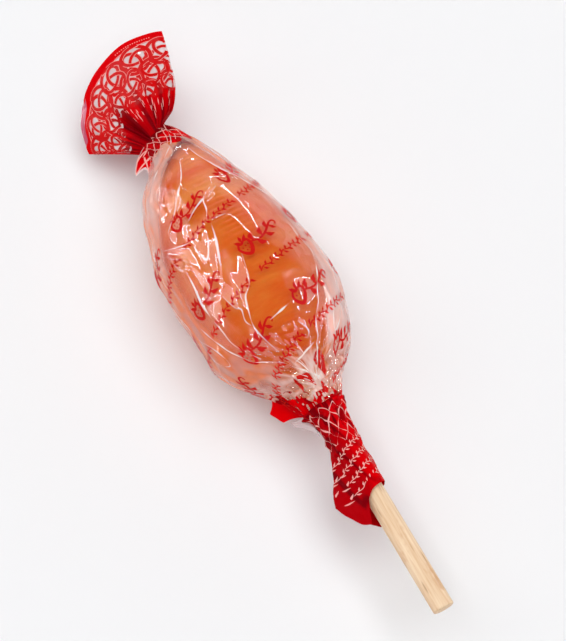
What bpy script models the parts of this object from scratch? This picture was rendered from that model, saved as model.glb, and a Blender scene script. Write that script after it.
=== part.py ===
"""Twist-wrapped boiled-sugar lollipop, lying on its belly.

Three pieces: the egg-shaped candy, the round wooden stick whose end sits in a socket in the
candy, and the film wrapper. The wrapper is one piece of film: a flat fan above a gathered
neck, a loose bag round the candy, a gather under it, and a skirt twisted round the stick.

Metres, +Z up. Lengths along X are first measured from the neck towards the free end of the
stick; at the end everything hangs on one empty that puts the origin at the middle of the
footprint, on the surface that the lollipop lies on.
"""

import math

import bmesh
import bpy
import numpy as np

MM = 0.001

# Driving sizes
GAP = 0.3 * MM
AXIS_HEIGHT = 16.0 * MM

STICK_RADIUS = 2.4 * MM
STICK_INNER_END = 46.0 * MM
STICK_OUTER_END = 128.9 * MM
STICK_CHAMFER = 0.45 * MM
STICK_END_SLANT = 0.07
STICK_SIDES = 32

CANDY_TOP = 6.5 * MM
CANDY_LENGTH = 61.5 * MM
CANDY_HALF_WIDTH = 16.2 * MM
CANDY_FLATNESS = 0.93
CANDY_WIDEST = 0.60
CANDY_TOP_POWER = 0.74
CANDY_FOOT_POWER = 0.47
CANDY_RIM = 0.981
CANDY_RINGS = 15

AROUND = 56
BAG_END = 77.3 * MM
BAG_RINGS = 26
SKIRT_RINGS = 11
FAN_RINGS = 9

FAN_REACH_TIP = 24.2 * MM
FAN_REACH_CORNER = 17.6 * MM
FAN_REACH_POWER = 1.35
FAN_TURN_TIP = math.radians(-35.0)
FAN_TURN_CORNER = math.radians(57.0)
FAN_RISE_TIP = math.radians(20.0)
FAN_RISE_CORNER = math.radians(-34.0)
FAN_HALF_THICKNESS = 0.9 * MM
FAN_WAVE = 0.8 * MM
FAN_WAVES = 3.5
FAN_SIDE_BULGE = 2.6 * MM

NECK_PLEATS = 11
GATHER_PLEATS = 13
PLEAT_DEPTH = 0.55 * MM

# Loose film round the candy: distance from the neck, left side, right side, half height and
# the slant of the section, in millimetres. Left is -Y.
BAG_STATIONS = (
    (2.1, -6.4, 2.1, 2.3, -0.45),
    (4.8, -6.5, 3.9, 4.0, -0.38),
    (9.0, -7.7, 6.5, 6.7, -0.20),
    (13.5, -10.6, 8.8, 9.3, -0.08),
    (20.5, -13.7, 11.5, 12.2, 0.0),
    (28.0, -16.1, 14.2, 14.5, 0.0),
    (35.0, -17.8, 16.1, 15.8, 0.0),
    (42.0, -17.5, 17.0, 16.3, 0.0),
    (48.0, -17.1, 17.7, 16.4, 0.0),
    (53.0, -17.0, 17.9, 16.0, 0.0),
    (57.5, -16.6, 17.2, 15.0, 0.0),
    (62.0, -15.0, 15.6, 13.1, 0.0),
    (66.5, -11.8, 13.0, 10.4, 0.0),
    (70.2, -8.8, 10.2, 7.8, 0.0),
    (73.5, -6.4, 7.2, 5.6, 0.0),
    (77.3, -4.5, 4.7, 4.3, 0.0),
)
# Film round the stick: share of the way from the gather to the mouth, half width, half
# height and the length of the tail that stands off to the left, in millimetres.
SKIRT_STATIONS = (
    (0.0, 4.6, 4.3, 0.0),
    (0.12, 3.6, 3.7, 0.0),
    (0.32, 3.2, 3.4, 0.1),
    (0.50, 3.1, 3.3, 0.6),
    (0.70, 3.05, 3.2, 2.4),
    (0.88, 3.0, 3.2, 4.4),
    (1.0, 3.0, 3.1, 5.5),
)
MOUTH_TOP = 99.3 * MM
MOUTH_UNDER_REACH = 7.0 * MM
MOUTH_SHOULDER_REACH = 2.4 * MM
MOUTH_TAIL_CUT = 3.4 * MM
TAIL_SHARPNESS = 5
TAIL_DROP = 0.35

# The candy's middle line: distance from the neck and sideways offset, in millimetres.
CANDY_CENTRE = ((6.5, 3.2), (13.0, 1.1), (20.0, 0.0), (30.0, -0.3), (45.0, -0.1), (58.0, -0.3), (68.0, 0.7))

CANDY_COLOUR = (0.66, 0.17, 0.05)
WOOD_COLOUR = (0.76, 0.56, 0.36)
FILM_COLOUR = (0.80, 0.10, 0.07)


def smooth_through(at, places, values):
    """Cubic curve through the values, with slopes that add no extra humps between them."""
    places = np.asarray(places, float)
    values = np.asarray(values, float)
    step = np.diff(places)
    slope = np.diff(values) / step
    tangent = np.empty(len(places))
    tangent[0], tangent[-1] = slope[0], slope[-1]
    same_way = slope[:-1] * slope[1:] > 0
    tangent[1:-1] = np.where(same_way, 2 * slope[:-1] * slope[1:] / np.where(
        same_way, slope[:-1] + slope[1:], 1.0), 0.0)
    k = np.clip(np.searchsorted(places, at, side="right") - 1, 0, len(step) - 1)
    u = (at - places[k]) / step[k]
    rise = 3 * u**2 - 2 * u**3
    return (values[k] * (1 - rise) + values[k + 1] * rise
            + step[k] * (tangent[k] * u * (1 - u) ** 2 - tangent[k + 1] * u**2 * (1 - u)))


def angles():
    """Angles round a section: 0 is the right side, a quarter turn is the top."""
    return np.arange(AROUND) * 2 * math.pi / AROUND


def ring(x, y, z):
    """One closed ring of points from its three coordinates."""
    return np.stack(np.broadcast_arrays(x, y, z), axis=-1).astype(float)


def candy_half_width(share):
    """Egg profile: a power of the distance from each end, highest at CANDY_WIDEST."""
    top = (share / CANDY_WIDEST) ** CANDY_TOP_POWER
    foot = ((1 - share) / (1 - CANDY_WIDEST)) ** CANDY_FOOT_POWER
    return CANDY_HALF_WIDTH * top * foot


def candy_point(share, theta):
    """Point of the candy's skin at a share of its length and an angle round it."""
    x = CANDY_TOP + share * CANDY_LENGTH
    places, offsets = np.array(CANDY_CENTRE).T * MM
    centre = smooth_through(x, places, offsets)
    half = candy_half_width(share)
    return ring(x, centre + half * np.cos(theta),
                AXIS_HEIGHT + CANDY_FLATNESS * half * np.sin(theta))


def candy_shares():
    """Shares of the candy's length for its rings, close together at both ends."""
    steps = np.arange(1, CANDY_RINGS + 1) / CANDY_RINGS
    even = (1 - np.cos(math.pi * steps)) / 2
    return 0.004 + (CANDY_RIM - 0.004) * even


def candy_rings(outset):
    """Rings over the candy's skin, from its top to its foot, moved outwards by outset."""
    theta = angles()
    small = 1e-4
    rings = []
    for share in candy_shares():
        here = candy_point(share, theta)
        along = candy_point(share + small, theta) - candy_point(share - small, theta)
        around = candy_point(share, theta + small) - candy_point(share, theta - small)
        out = np.cross(around, along)
        out /= np.linalg.norm(out, axis=1, keepdims=True)
        rings.append(here + outset * out)
    return rings


def bag_section(x):
    """Left side, right side, half height and slant of the loose film at one place."""
    table = np.array(BAG_STATIONS)
    left, right, half, slant = (smooth_through(x / MM, table[:, 0], table[:, k]) for k in range(1, 5))
    return left * MM, right * MM, half * MM, slant


def pleats(theta, count, drift):
    """Rounded pleats that run lengthways, from 0 in a valley to 1 on a fold."""
    uneven = 0.35 * np.sin(2 * theta + 1.0) + 0.2 * np.sin(5 * theta + drift)
    return 0.5 + 0.5 * np.cos(count * theta + uneven + drift)


def bag_ring(x):
    """Section of the bag, with pleats near the neck and near the gather."""
    theta = angles()
    left, right, half, slant = bag_section(x)
    near_neck = math.exp(-((x / (9 * MM)) ** 2))
    near_gather = math.exp(-(((x - BAG_END) / (9 * MM)) ** 2))
    fold = PLEAT_DEPTH * (near_neck * pleats(theta, NECK_PLEATS, 0.4)
                          + near_gather * pleats(theta, GATHER_PLEATS, 1.3))
    y = (left + right) / 2 + ((right - left) / 2 + fold) * np.cos(theta)
    z = AXIS_HEIGHT + (half + fold) * np.sin(theta)
    x_slanted = x + slant * (y - (left + right) / 2)
    return ring(x_slanted, y, np.maximum(z, 0.0))


def mouth(theta):
    """Where the skirt ends: short on top of the stick, longer under it, cut back at its tail."""
    under = np.clip(np.cos(theta - math.radians(245.0)), 0, 1) ** 2
    shoulder = np.clip(np.cos(theta - math.radians(130.0)), 0, 1) ** 3
    tail = np.clip(-np.cos(theta), 0, 1) ** 12
    return (MOUTH_TOP + MOUTH_UNDER_REACH * under + MOUTH_SHOULDER_REACH * shoulder
            - MOUTH_TAIL_CUT * tail)


def skirt_ring(share):
    """Section of the film round the stick, a circle with a flattened tail to the left."""
    theta = angles()
    table = np.array(SKIRT_STATIONS)
    width, height, tail = (smooth_through(share, table[:, 0], table[:, k]) * MM for k in range(1, 4))
    fold = 0.6 * PLEAT_DEPTH * (1 - share) ** 2 * pleats(theta, GATHER_PLEATS, 1.3)
    lobe = tail * np.clip(-np.cos(theta), 0, 1) ** TAIL_SHARPNESS
    twist = 0.15 * MM * share * (1 + np.cos(4 * theta + 9 * share))
    y = (width + fold + twist) * np.cos(theta) - lobe
    z = AXIS_HEIGHT + (height + fold + twist) * np.sin(theta) - TAIL_DROP * lobe
    return ring(BAG_END + share * (mouth(theta) - BAG_END), y, z)


def fan_ring(share):
    """Section of the flattened film beyond the neck, from the neck (0) to its border (1)."""
    theta = angles()
    start = bag_ring(BAG_STATIONS[0][0] * MM)
    middle = start.mean(axis=0)
    place = (1 - np.cos(theta)) / 2
    turn = FAN_TURN_TIP + (FAN_TURN_CORNER - FAN_TURN_TIP) * place
    rise = FAN_RISE_TIP + (FAN_RISE_CORNER - FAN_RISE_TIP) * place
    reach = FAN_REACH_TIP + (FAN_REACH_CORNER - FAN_REACH_TIP) * place ** FAN_REACH_POWER
    out = ring(-np.cos(turn) * np.cos(rise), -np.sin(turn) * np.cos(rise), np.sin(rise))
    lift = ring(np.cos(turn) * np.sin(rise), np.sin(turn) * np.sin(rise), np.cos(rise))
    wave = FAN_WAVE * np.cos(FAN_WAVES * 2 * math.pi * place + 0.8)
    border = middle + reach[:, None] * out
    border += (FAN_HALF_THICKNESS * np.sin(theta) + wave)[:, None] * lift
    spread = share ** 0.85
    here = start * (1 - spread) + border * spread
    bulge = FAN_SIDE_BULGE * math.sin(math.pi * share ** 0.7) * np.clip(np.cos(theta), 0, 1) ** 3
    here[:, 1] += bulge
    fat = 0.9 * MM * math.sin(math.pi * share)
    here += (fat * np.sin(theta))[:, None] * lift
    return here


def mesh_object(name, rings, pole, start_cap):
    """A closed body skinned over rings of equal count, shut by a pole at its far end.

    start_cap "flat" joins each point of the first ring to its mirror point across the
    section, and "pole" brings the first ring together in its middle.
    """
    bm = bmesh.new()
    loops = [[bm.verts.new(p) for p in one] for one in rings]
    count = len(loops[0])
    for first, second in zip(loops, loops[1:]):
        for k in range(count):
            n = (k + 1) % count
            bm.faces.new((first[k], first[n], second[n], second[k]))
    end = bm.verts.new(pole)
    for k in range(count):
        bm.faces.new((loops[-1][k], loops[-1][(k + 1) % count], end))
    first = loops[0]
    if start_cap == "pole":
        tip = bm.verts.new(rings[0].mean(axis=0) - np.array((0.2 * MM, 0, 0)))
        for k in range(count):
            bm.faces.new((first[(k + 1) % count], first[k], tip))
    else:
        half = count // 2
        bm.faces.new((first[0], first[1], first[count - 1]))
        for k in range(1, half - 1):
            bm.faces.new((first[k], first[k + 1], first[count - k - 1], first[count - k]))
        bm.faces.new((first[half - 1], first[half], first[half + 1]))
    bmesh.ops.recalc_face_normals(bm, faces=bm.faces)
    if bm.calc_volume(signed=True) < 0:
        bmesh.ops.reverse_faces(bm, faces=bm.faces)
    return finish_object(name, bm)


def finish_object(name, bm, sharp=math.radians(40.0)):
    """Turns a bmesh into a named object that is shaded smooth except at sharp edges."""
    mesh = bpy.data.meshes.new(name)
    bm.to_mesh(mesh)
    bm.free()
    mesh.shade_smooth()
    mesh.set_sharp_from_angle(angle=sharp)
    made = bpy.data.objects.new(name, mesh)
    bpy.context.scene.collection.objects.link(made)
    return made


def material(name, colour, roughness, transmission=0.0, coat=0.0):
    """A Principled material with the piece's colour and gloss."""
    made = bpy.data.materials.new(name)
    made.use_nodes = True
    shader = made.node_tree.nodes["Principled BSDF"]
    shader.inputs["Base Color"].default_value = (*colour, 1.0)
    shader.inputs["Roughness"].default_value = roughness
    shader.inputs["Metallic"].default_value = 0.0
    shader.inputs["Transmission Weight"].default_value = transmission
    shader.inputs["Coat Weight"].default_value = coat
    return made


def candy():
    """Egg of boiled sugar, with an open socket for the stick in its foot."""
    rings = candy_rings(0.0)
    rim_x = rings[-1][:, 0].max()
    hole = STICK_RADIUS + GAP
    theta = angles()
    socket = [ring(x, hole * np.cos(theta), AXIS_HEIGHT + hole * np.sin(theta))
              for x in (rim_x, (rim_x + STICK_INNER_END) / 2, STICK_INNER_END - GAP)]
    made = mesh_object("candy", rings + socket, (STICK_INNER_END - GAP, 0.0, AXIS_HEIGHT), "pole")
    made.data.materials.append(material("boiled_sugar", CANDY_COLOUR, 0.25, transmission=0.3))
    return made


def stick():
    """Round wooden dowel along X, chamfered and cut a little aslant at its free end."""
    length = STICK_OUTER_END - STICK_INNER_END
    bm = bmesh.new()
    bmesh.ops.create_cone(bm, cap_ends=True, segments=STICK_SIDES, radius1=STICK_RADIUS,
                          radius2=STICK_RADIUS, depth=length)
    end_edges = [e for e in bm.edges if all(v.co.z > 0 for v in e.verts)]
    bmesh.ops.bevel(bm, geom=end_edges, offset=STICK_CHAMFER, segments=1, affect="EDGES")
    for v in bm.verts:
        if v.co.z > 0:
            v.co.z -= STICK_END_SLANT * (STICK_RADIUS + v.co.x)
    made = finish_object("stick", bm, sharp=math.radians(25.0))
    made.rotation_euler = (0.0, math.pi / 2, 0.0)
    made.location = (STICK_INNER_END + length / 2, 0.0, AXIS_HEIGHT)
    made.data.materials.append(material("beech", WOOD_COLOUR, 0.6))
    return made


def plate(name, root, tip, half_width, rise, thickness):
    """Thin wavy tongue of film: a pointed strip from root to tip, given a thickness."""
    root, tip = np.array(root) * MM, np.array(tip) * MM
    along = tip - root
    across = np.cross((0.0, 0.0, 1.0), along)
    across /= np.linalg.norm(across)
    lengths, widths = 7, 5
    bm = bmesh.new()
    rows = []
    for i in range(lengths):
        u = i / (lengths - 1)
        half = half_width * (0.35 + 0.65 * math.sin(math.pi * min(0.15 + 0.8 * u, 1.0)))
        row = []
        for j in range(widths):
            v = 2 * j / (widths - 1) - 1
            p = root + along * u + across * half * v
            p[2] += rise * math.sin(math.pi * u) + 0.25 * rise * math.cos(2.2 * v + 3 * u)
            row.append(bm.verts.new(p))
        rows.append(row)
    for low, high in zip(rows, rows[1:]):
        for j in range(widths - 1):
            bm.faces.new((low[j], low[j + 1], high[j + 1], high[j]))
    made = finish_object(name, bm)
    solid = made.modifiers.new("film thickness", "SOLIDIFY")
    solid.thickness = thickness
    solid.offset = 0.0
    made.hide_render = True
    made.display_type = "WIRE"
    return made


def wrapper():
    """The film, from the border of the fan to the mouth of the skirt and back inside.

    The inner side is a pocket that follows the candy and then the stick at the gap, so the
    wrapper is a wall that is open where the stick comes out.
    """
    theta = angles()
    fan = [fan_ring(share) for share in np.linspace(1, 0, FAN_RINGS + 1)[:-1]]
    steps = np.linspace(0, 1, BAG_RINGS + 1)
    bag = [bag_ring(BAG_STATIONS[0][0] * MM * (1 - s) + BAG_END * s) for s in steps[:-1]]
    skirt = [skirt_ring(share) for share in np.linspace(0, 1, SKIRT_RINGS + 1)]
    pocket = candy_rings(GAP)[::-1]
    hole = STICK_RADIUS + GAP
    pocket_end = pocket[0][:, 0].max() + GAP
    inside = [ring(pocket_end * (1 - s) + mouth(theta) * s, hole * np.cos(theta),
                   AXIS_HEIGHT + hole * np.sin(theta)) for s in (1.0, 0.66, 0.33, 0.0)]
    top = pocket[-1].mean(axis=0) - np.array((0.3 * MM, 0.0, 0.0))
    made = mesh_object("wrapper", fan + bag + skirt + inside + pocket, top, "flat")
    tongues = (
        plate("leaf_form", (3.0, -4.4, 16.0), (8.2, -8.7, 13.4), 1.7 * MM, 0.6 * MM, 0.9 * MM),
        plate("flap_form", (74.8, -5.2, 13.4), (73.0, -10.4, 11.2), 2.4 * MM, 0.6 * MM, 0.9 * MM),
    )
    for tongue in tongues:
        joined = made.modifiers.new(tongue.name, "BOOLEAN")
        joined.operation = "UNION"
        joined.solver = "EXACT"
        joined.object = tongue
    made.data.materials.append(material("film", FILM_COLOUR, 0.2, transmission=0.4, coat=0.6))
    return made, tongues


def main():
    for old in list(bpy.data.objects):
        bpy.data.objects.remove(old)
    film, tongues = wrapper()
    pieces = [film, *tongues, candy(), stick()]
    points = np.array([v.co for v in film.data.vertices])
    middle_y = (points[:, 1].min() + points[:, 1].max()) / 2
    middle_x = (points[:, 0].min() + STICK_OUTER_END) / 2
    origin = bpy.data.objects.new("lollipop", None)
    bpy.context.scene.collection.objects.link(origin)
    for piece in pieces:
        piece.parent = origin
    origin.location = (-middle_x, -middle_y, 0.0)


main()
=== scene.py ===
# %% [markdown]
# # A twist-wrapped lollipop
#
# A big egg of orange boiled sugar on a beech dowel. It is wrapped in clear film with a red
# print: the film ends in a flat fan above a gathered neck, goes loosely round the candy, and
# is twisted round the stick below it. The lollipop lies on its belly on a white table.
#
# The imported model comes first. It is the fixed frame that every new piece is fitted to.

# %% Load the frame
import math

import bpy
import numpy as np
from mathutils import Matrix, Vector


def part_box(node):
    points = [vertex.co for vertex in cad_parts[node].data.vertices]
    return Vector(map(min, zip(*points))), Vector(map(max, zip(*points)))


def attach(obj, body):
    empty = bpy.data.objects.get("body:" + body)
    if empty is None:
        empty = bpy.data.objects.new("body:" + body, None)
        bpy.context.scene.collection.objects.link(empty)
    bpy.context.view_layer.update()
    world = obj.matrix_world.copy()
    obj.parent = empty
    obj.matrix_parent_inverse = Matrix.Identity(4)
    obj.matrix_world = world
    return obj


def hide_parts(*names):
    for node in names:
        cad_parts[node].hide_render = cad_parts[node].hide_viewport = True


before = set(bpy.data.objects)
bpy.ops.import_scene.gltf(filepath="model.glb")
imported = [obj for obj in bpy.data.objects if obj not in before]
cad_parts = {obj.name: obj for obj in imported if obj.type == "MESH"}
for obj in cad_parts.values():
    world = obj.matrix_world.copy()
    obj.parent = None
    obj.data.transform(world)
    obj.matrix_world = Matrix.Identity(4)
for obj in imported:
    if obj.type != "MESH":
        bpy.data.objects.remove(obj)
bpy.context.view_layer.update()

# %% [markdown]
# ## One set of coordinates
#
# Shapes like these are easiest to work out along the stick: x is 0 at the gathered neck and
# grows towards the stick's free end, y goes to the right, z up from the table, all in
# millimetres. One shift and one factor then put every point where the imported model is. The
# stick gives the shift, because its free end and its middle line are known in both.

# %% From millimetres along the stick to the model's metres
MM = 0.001
AXIS_HEIGHT = 16.0
STICK_END = 128.9

stick_low, stick_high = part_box("stick")
SHIFT = np.array((stick_high.x / MM - STICK_END, (stick_low.y + stick_high.y) / 2 / MM, 0.0))


def to_model(points):
    """Millimetres along the stick become metres in the model: (point + shift) / 1000."""
    return (np.asarray(points, float) + SHIFT) * MM


print("shift in mm:", SHIFT.round(2))

# %% [markdown]
# ## Helpers for numbers
#
# Sections of the film are only known at some places, so a cubic curve is drawn through them.
# Relief that no one could measure, such as small crumples, comes from smooth noise: random
# heights on a lattice with a cubic blend between them. It is read at points in space, so it
# has no seam where a tube closes on itself.

# %% Curves through values
def smooth_through(at, places, values):
    """Cubic curve through the values, with slopes that add no extra humps between them."""
    places = np.asarray(places, float)
    values = np.asarray(values, float)
    step = np.diff(places)
    slope = np.diff(values) / step
    tangent = np.empty(len(places))
    tangent[0], tangent[-1] = slope[0], slope[-1]
    same_way = slope[:-1] * slope[1:] > 0
    tangent[1:-1] = np.where(same_way, 2 * slope[:-1] * slope[1:] / np.where(
        same_way, slope[:-1] + slope[1:], 1.0), 0.0)
    at = np.clip(at, places[0], places[-1])
    k = np.clip(np.searchsorted(places, at, side="right") - 1, 0, len(step) - 1)
    u = (at - places[k]) / step[k]
    rise = 3 * u**2 - 2 * u**3
    return (values[k] * (1 - rise) + values[k + 1] * rise
            + step[k] * (tangent[k] * u * (1 - u) ** 2 - tangent[k + 1] * u**2 * (1 - u)))


def sections(at, stations):
    """A smooth curve for each further column of a table, over its first column."""
    places, *columns = np.transpose(stations)
    return [smooth_through(at, places, column) for column in columns]


def smooth_step(value, low, high):
    """0 below low, 1 above high, 3t2 - 2t3 between."""
    t = np.clip((value - low) / (high - low), 0, 1)
    return t * t * (3 - 2 * t)


print("half way up a smooth step:", float(smooth_step(0.5, 0.0, 1.0)))

# %% Smooth noise
NOISE_CELLS, NOISE_START = 32, 40.0


def noise(points, size, seed):
    """Smooth noise from -1 to 1: heights on a lattice of the given size, blended by 3t2 - 2t3."""
    heights = np.random.default_rng(seed).uniform(-1, 1, (NOISE_CELLS,) * 3)
    p = np.asarray(points) / size + NOISE_START
    low = np.floor(p).astype(int)
    t = p - low
    t = t * t * (3 - 2 * t)
    total = 0.0
    for corner in np.ndindex(2, 2, 2):
        c = np.array(corner)
        weight = np.prod(np.where(c == 1, t, 1 - t), axis=-1)
        i = (low + c) % NOISE_CELLS
        total = total + weight * heights[i[..., 0], i[..., 1], i[..., 2]]
    return total


def crumple(points, size, seed):
    """Folded film: facets with sharp ridges, 1 - 2.4 |noise| at two sizes, from about -1 to 1."""
    big = 1 - 2.4 * np.abs(noise(points, size, seed))
    small = 1 - 2.4 * np.abs(noise(points, size / 2.3, seed + 1))
    return 0.7 * big + 0.3 * small


def drawn_out(points, factor):
    """Points with x times a factor below 1, so that noise read there is longer along x."""
    return points * np.array((factor, 1.0, 1.0))


print("noise at one point:", float(noise(np.array([[1.0, 2.0, 3.0]]), 5.0, 1)[0]).__round__(3))

# %% [markdown]
# ## Helpers for meshes
#
# Every piece here is a surface of two parameters, sampled on a grid. One function turns such
# a grid of points into a mesh: numpy makes all vertices and faces as whole arrays. Where the
# surface is a tube its last column is joined to the first, and an end that shuts is brought
# to one point, so no seam or pole stays open.

# %% Grids and their faces
def stack(x, y, z):
    """Points from three arrays of coordinates."""
    return np.stack(np.broadcast_arrays(x, y, z), axis=-1).astype(float)


def ring_grid(places, columns):
    """Two arrays for a tube: the place down its rows, and the angle round its columns."""
    return np.meshgrid(places, np.arange(columns) * 2 * math.pi / columns, indexing="ij")


def grid_faces(points, around, flip):
    """Quads of a grid: each joins a point, its neighbour in the row and the two below. Round
    a tube the last column is joined to the first. flip turns the faces over."""
    rows, columns = points.shape[:2]
    i, j = np.meshgrid(np.arange(rows - 1), np.arange(columns - (0 if around else 1)), indexing="ij")
    n = (j + 1) % columns
    quads = np.stack([i * columns + j, (i + 1) * columns + j, (i + 1) * columns + n,
                      i * columns + n], axis=-1).reshape(-1, 4)
    return (quads[:, ::-1] if flip else quads).tolist()


def shut_tube(points):
    """A tube whose ends are each drawn together to one point: its points, and its quads with a
    fan of triangles at both ends."""
    rings, columns = points.shape[:2]
    count, here = rings * columns, np.arange(columns)
    after, last = (here + 1) % columns, count - columns
    fans = np.stack([after, here, np.full(columns, count),
                     last + here, last + after, np.full(columns, count + 1)], axis=-1)
    ends = points[[0, -1]].mean(axis=1)
    faces = grid_faces(points, around=True, flip=True) + fans.reshape(-1, 3).tolist()
    return np.vstack([points.reshape(-1, 3), ends]), faces


def normals_of(surface, a, b, step_a, step_b):
    """Outward normals: the cross product of the surface's slopes, by small steps both ways."""
    along = surface(a + step_a, b) - surface(a - step_a, b)
    across = surface(a, b + step_b) - surface(a, b - step_b)
    out = np.cross(across, along)
    return out / np.maximum(np.linalg.norm(out, axis=-1, keepdims=True), 1e-12)


print("faces of a tube of 3 rings with 8 points:", len(shut_tube(np.zeros((3, 8, 3)))[1]))

# %% From points to a piece
def make_piece(name, points, faces, finish, slot, **attributes):
    """A shown piece from points in millimetres and faces, that rides on the root body. Each
    attribute is one value for the whole piece, or one for every point."""
    mesh = bpy.data.meshes.new(name)
    mesh.from_pydata(to_model(points).reshape(-1, 3).tolist(), [], faces)
    mesh.polygons.foreach_set("use_smooth", np.ones(len(mesh.polygons), bool))
    for key, values in attributes.items():
        spread = np.broadcast_to(np.ravel(values), len(mesh.vertices)).astype(np.float32)
        mesh.attributes.new(key, "FLOAT", "POINT").data.foreach_set("value", spread)
    mesh.materials.append(finish)
    mesh.validate()
    piece = bpy.data.objects.new(name, mesh)
    bpy.context.scene.collection.objects.link(piece)
    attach(piece, "root")
    triangles = len(mesh.loops) - 2 * len(mesh.polygons)
    print(f"{name}: {len(mesh.vertices)} points, {triangles} triangles")
    return piece


# %% [markdown]
# ## Camera
#
# The photograph looks down at 68 degrees from 0.6 m away, turned so that the stick points to
# the lower right. A long lens gives the weak perspective of a product picture.

# %% Camera
TURN = math.radians(60.849)
RISE = math.radians(68.0)
DISTANCE = 600.0
FOCAL_PIXELS, IMAGE_HEIGHT, SENSOR = 2736.0, 641, 36.0
AIM = np.array((55.110, 2.273, AXIS_HEIGHT))

look = np.array((-math.sin(TURN) * math.cos(RISE), math.cos(TURN) * math.cos(RISE), -math.sin(RISE)))
image_right = np.array((math.cos(TURN), math.sin(TURN), 0.0))
image_up = np.cross(image_right, look)
floor_up = np.array((-math.sin(TURN), math.cos(TURN), 0.0))

camera_data = bpy.data.cameras.new("camera")
camera_data.sensor_width = SENSOR
camera_data.lens = FOCAL_PIXELS / IMAGE_HEIGHT * SENSOR
camera_data.clip_start, camera_data.clip_end = 0.05, 20.0
camera = bpy.data.objects.new("camera", camera_data)
bpy.context.scene.collection.objects.link(camera)
turned = Matrix((image_right, image_up, -look)).transposed().to_4x4()
camera.matrix_world = Matrix.Translation(Vector(to_model(AIM - DISTANCE * look))) @ turned
bpy.context.scene.camera = camera
bpy.context.scene.view_settings.view_transform = "Standard"
print("camera at", [round(v, 3) for v in camera.location])

# %% [markdown]
# ## Table and light
#
# A picture like this is taken in a light tent on a white table. The tent's white walls keep
# the film's steep edges bright, and the darker gap overhead leaves the middle of the candy
# deep orange. Three boxes, left, right and beyond, lay a pink veil on the film where they are
# mirrored, and three narrow cards lower down do the same for the film's sides. Each has a
# brighter rim, and that rim is what draws the white lines round every dent. Four low walls
# fill in the rest of the circle. Light that bounces down from overhead only fills the shadows.

# %% Colours, and a function that adds a node
def srgb(code):
    """A hex colour as linear red, green, blue and 1: the sRGB curve undone."""
    v = np.array([int(code[k:k + 2], 16) / 255 for k in (0, 2, 4)])
    return (*np.where(v <= 0.04045, v / 12.92, ((v + 0.055) / 1.055) ** 2.4), 1.0)


def node(tree, kind, inputs=None, **settings):
    """Adds a node. settings are its own fields; inputs are its sockets by name or number,
    each a plain value or the output of another node."""
    made = tree.nodes.new("ShaderNode" + kind)
    for key, value in settings.items():
        setattr(made, key, value)
    for key, value in (inputs or {}).items():
        if isinstance(value, bpy.types.NodeSocket):
            tree.links.new(value, made.inputs[key])
        else:
            made.inputs[key].default_value = value
    return made


def new_material(name):
    """An empty node material and its tree."""
    made = bpy.data.materials.new(name)
    made.use_nodes = True
    made.node_tree.nodes.clear()
    print("material:", name)
    return made, made.node_tree


# %% Table
def table_material():
    """White melamine board, pressed smooth: matt, hardly any texture."""
    made, tree = new_material("white_melamine")
    grain = node(tree, "TexNoise", {"Vector": node(tree, "TexCoord").outputs["Object"],
                                    "Scale": 30.0, "Detail": 3.0})
    bump = node(tree, "Bump", {"Height": grain.outputs["Fac"], "Strength": 0.02, "Distance": 0.0005})
    shade = node(tree, "BsdfPrincipled", {"Base Color": srgb("f4f4f5"), "Roughness": 0.7,
                                          "Specular IOR Level": 0.2, "Normal": bump.outputs["Normal"]})
    node(tree, "OutputMaterial", {"Surface": shade.outputs["BSDF"]})
    return made


table_mesh = bpy.data.meshes.new("table")
table_mesh.from_pydata([(-2, -2, 0), (2, -2, 0), (2, 2, 0), (-2, 2, 0)], [], [(0, 1, 2, 3)])
table_mesh.materials.append(table_material())
table = bpy.data.objects.new("table", table_mesh)
bpy.context.scene.collection.objects.link(table)

# %% Light tent
def studio_world():
    """Light tent: white walls, and a darker gap overhead. Brightness falls with the height of
    the direction, from 13 to 38 degrees up."""
    world = bpy.data.worlds.new("light_tent")
    world.use_nodes = True
    tree = world.node_tree
    tree.nodes.clear()
    where = node(tree, "TexCoord").outputs["Generated"]
    height = node(tree, "SeparateXYZ", {"Vector": where}).outputs["Z"]
    strength = node(tree, "MapRange", {"Value": height, "From Min": 0.22, "From Max": 0.62,
                                       "To Min": 0.75, "To Max": 0.05}, interpolation_type="SMOOTHSTEP")
    walls = node(tree, "Background", {"Color": srgb("fbfbff"), "Strength": strength.outputs["Result"]})
    node(tree, "OutputWorld", {"Surface": walls.outputs["Background"]})
    bpy.context.scene.world = world


def lamp(name, centre, facing, right, up, wide, tall, radiance, only=None):
    """A rectangle of light in the plane of a box: right and up from its centre, in metres.
    Power = radiance x area x pi. only = "glossy" shows it in mirror images alone."""
    data = bpy.data.lights.new(name, "AREA")
    data.shape = "RECTANGLE"
    data.size, data.size_y = wide, tall
    data.energy = radiance * wide * tall * math.pi
    made = bpy.data.objects.new(name, data)
    bpy.context.scene.collection.objects.link(made)
    made.location = centre + facing @ Vector((right, up, 0.0))
    made.rotation_euler = facing.to_euler()
    made.visible_diffuse = only != "glossy"
    made.visible_glossy = only != "diffuse"


LIT_POINT = Vector(to_model((45.0, 0.0, AXIS_HEIGHT)))
BOX_DISTANCE, RIM_WIDTH = 1.5, 0.016


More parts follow.
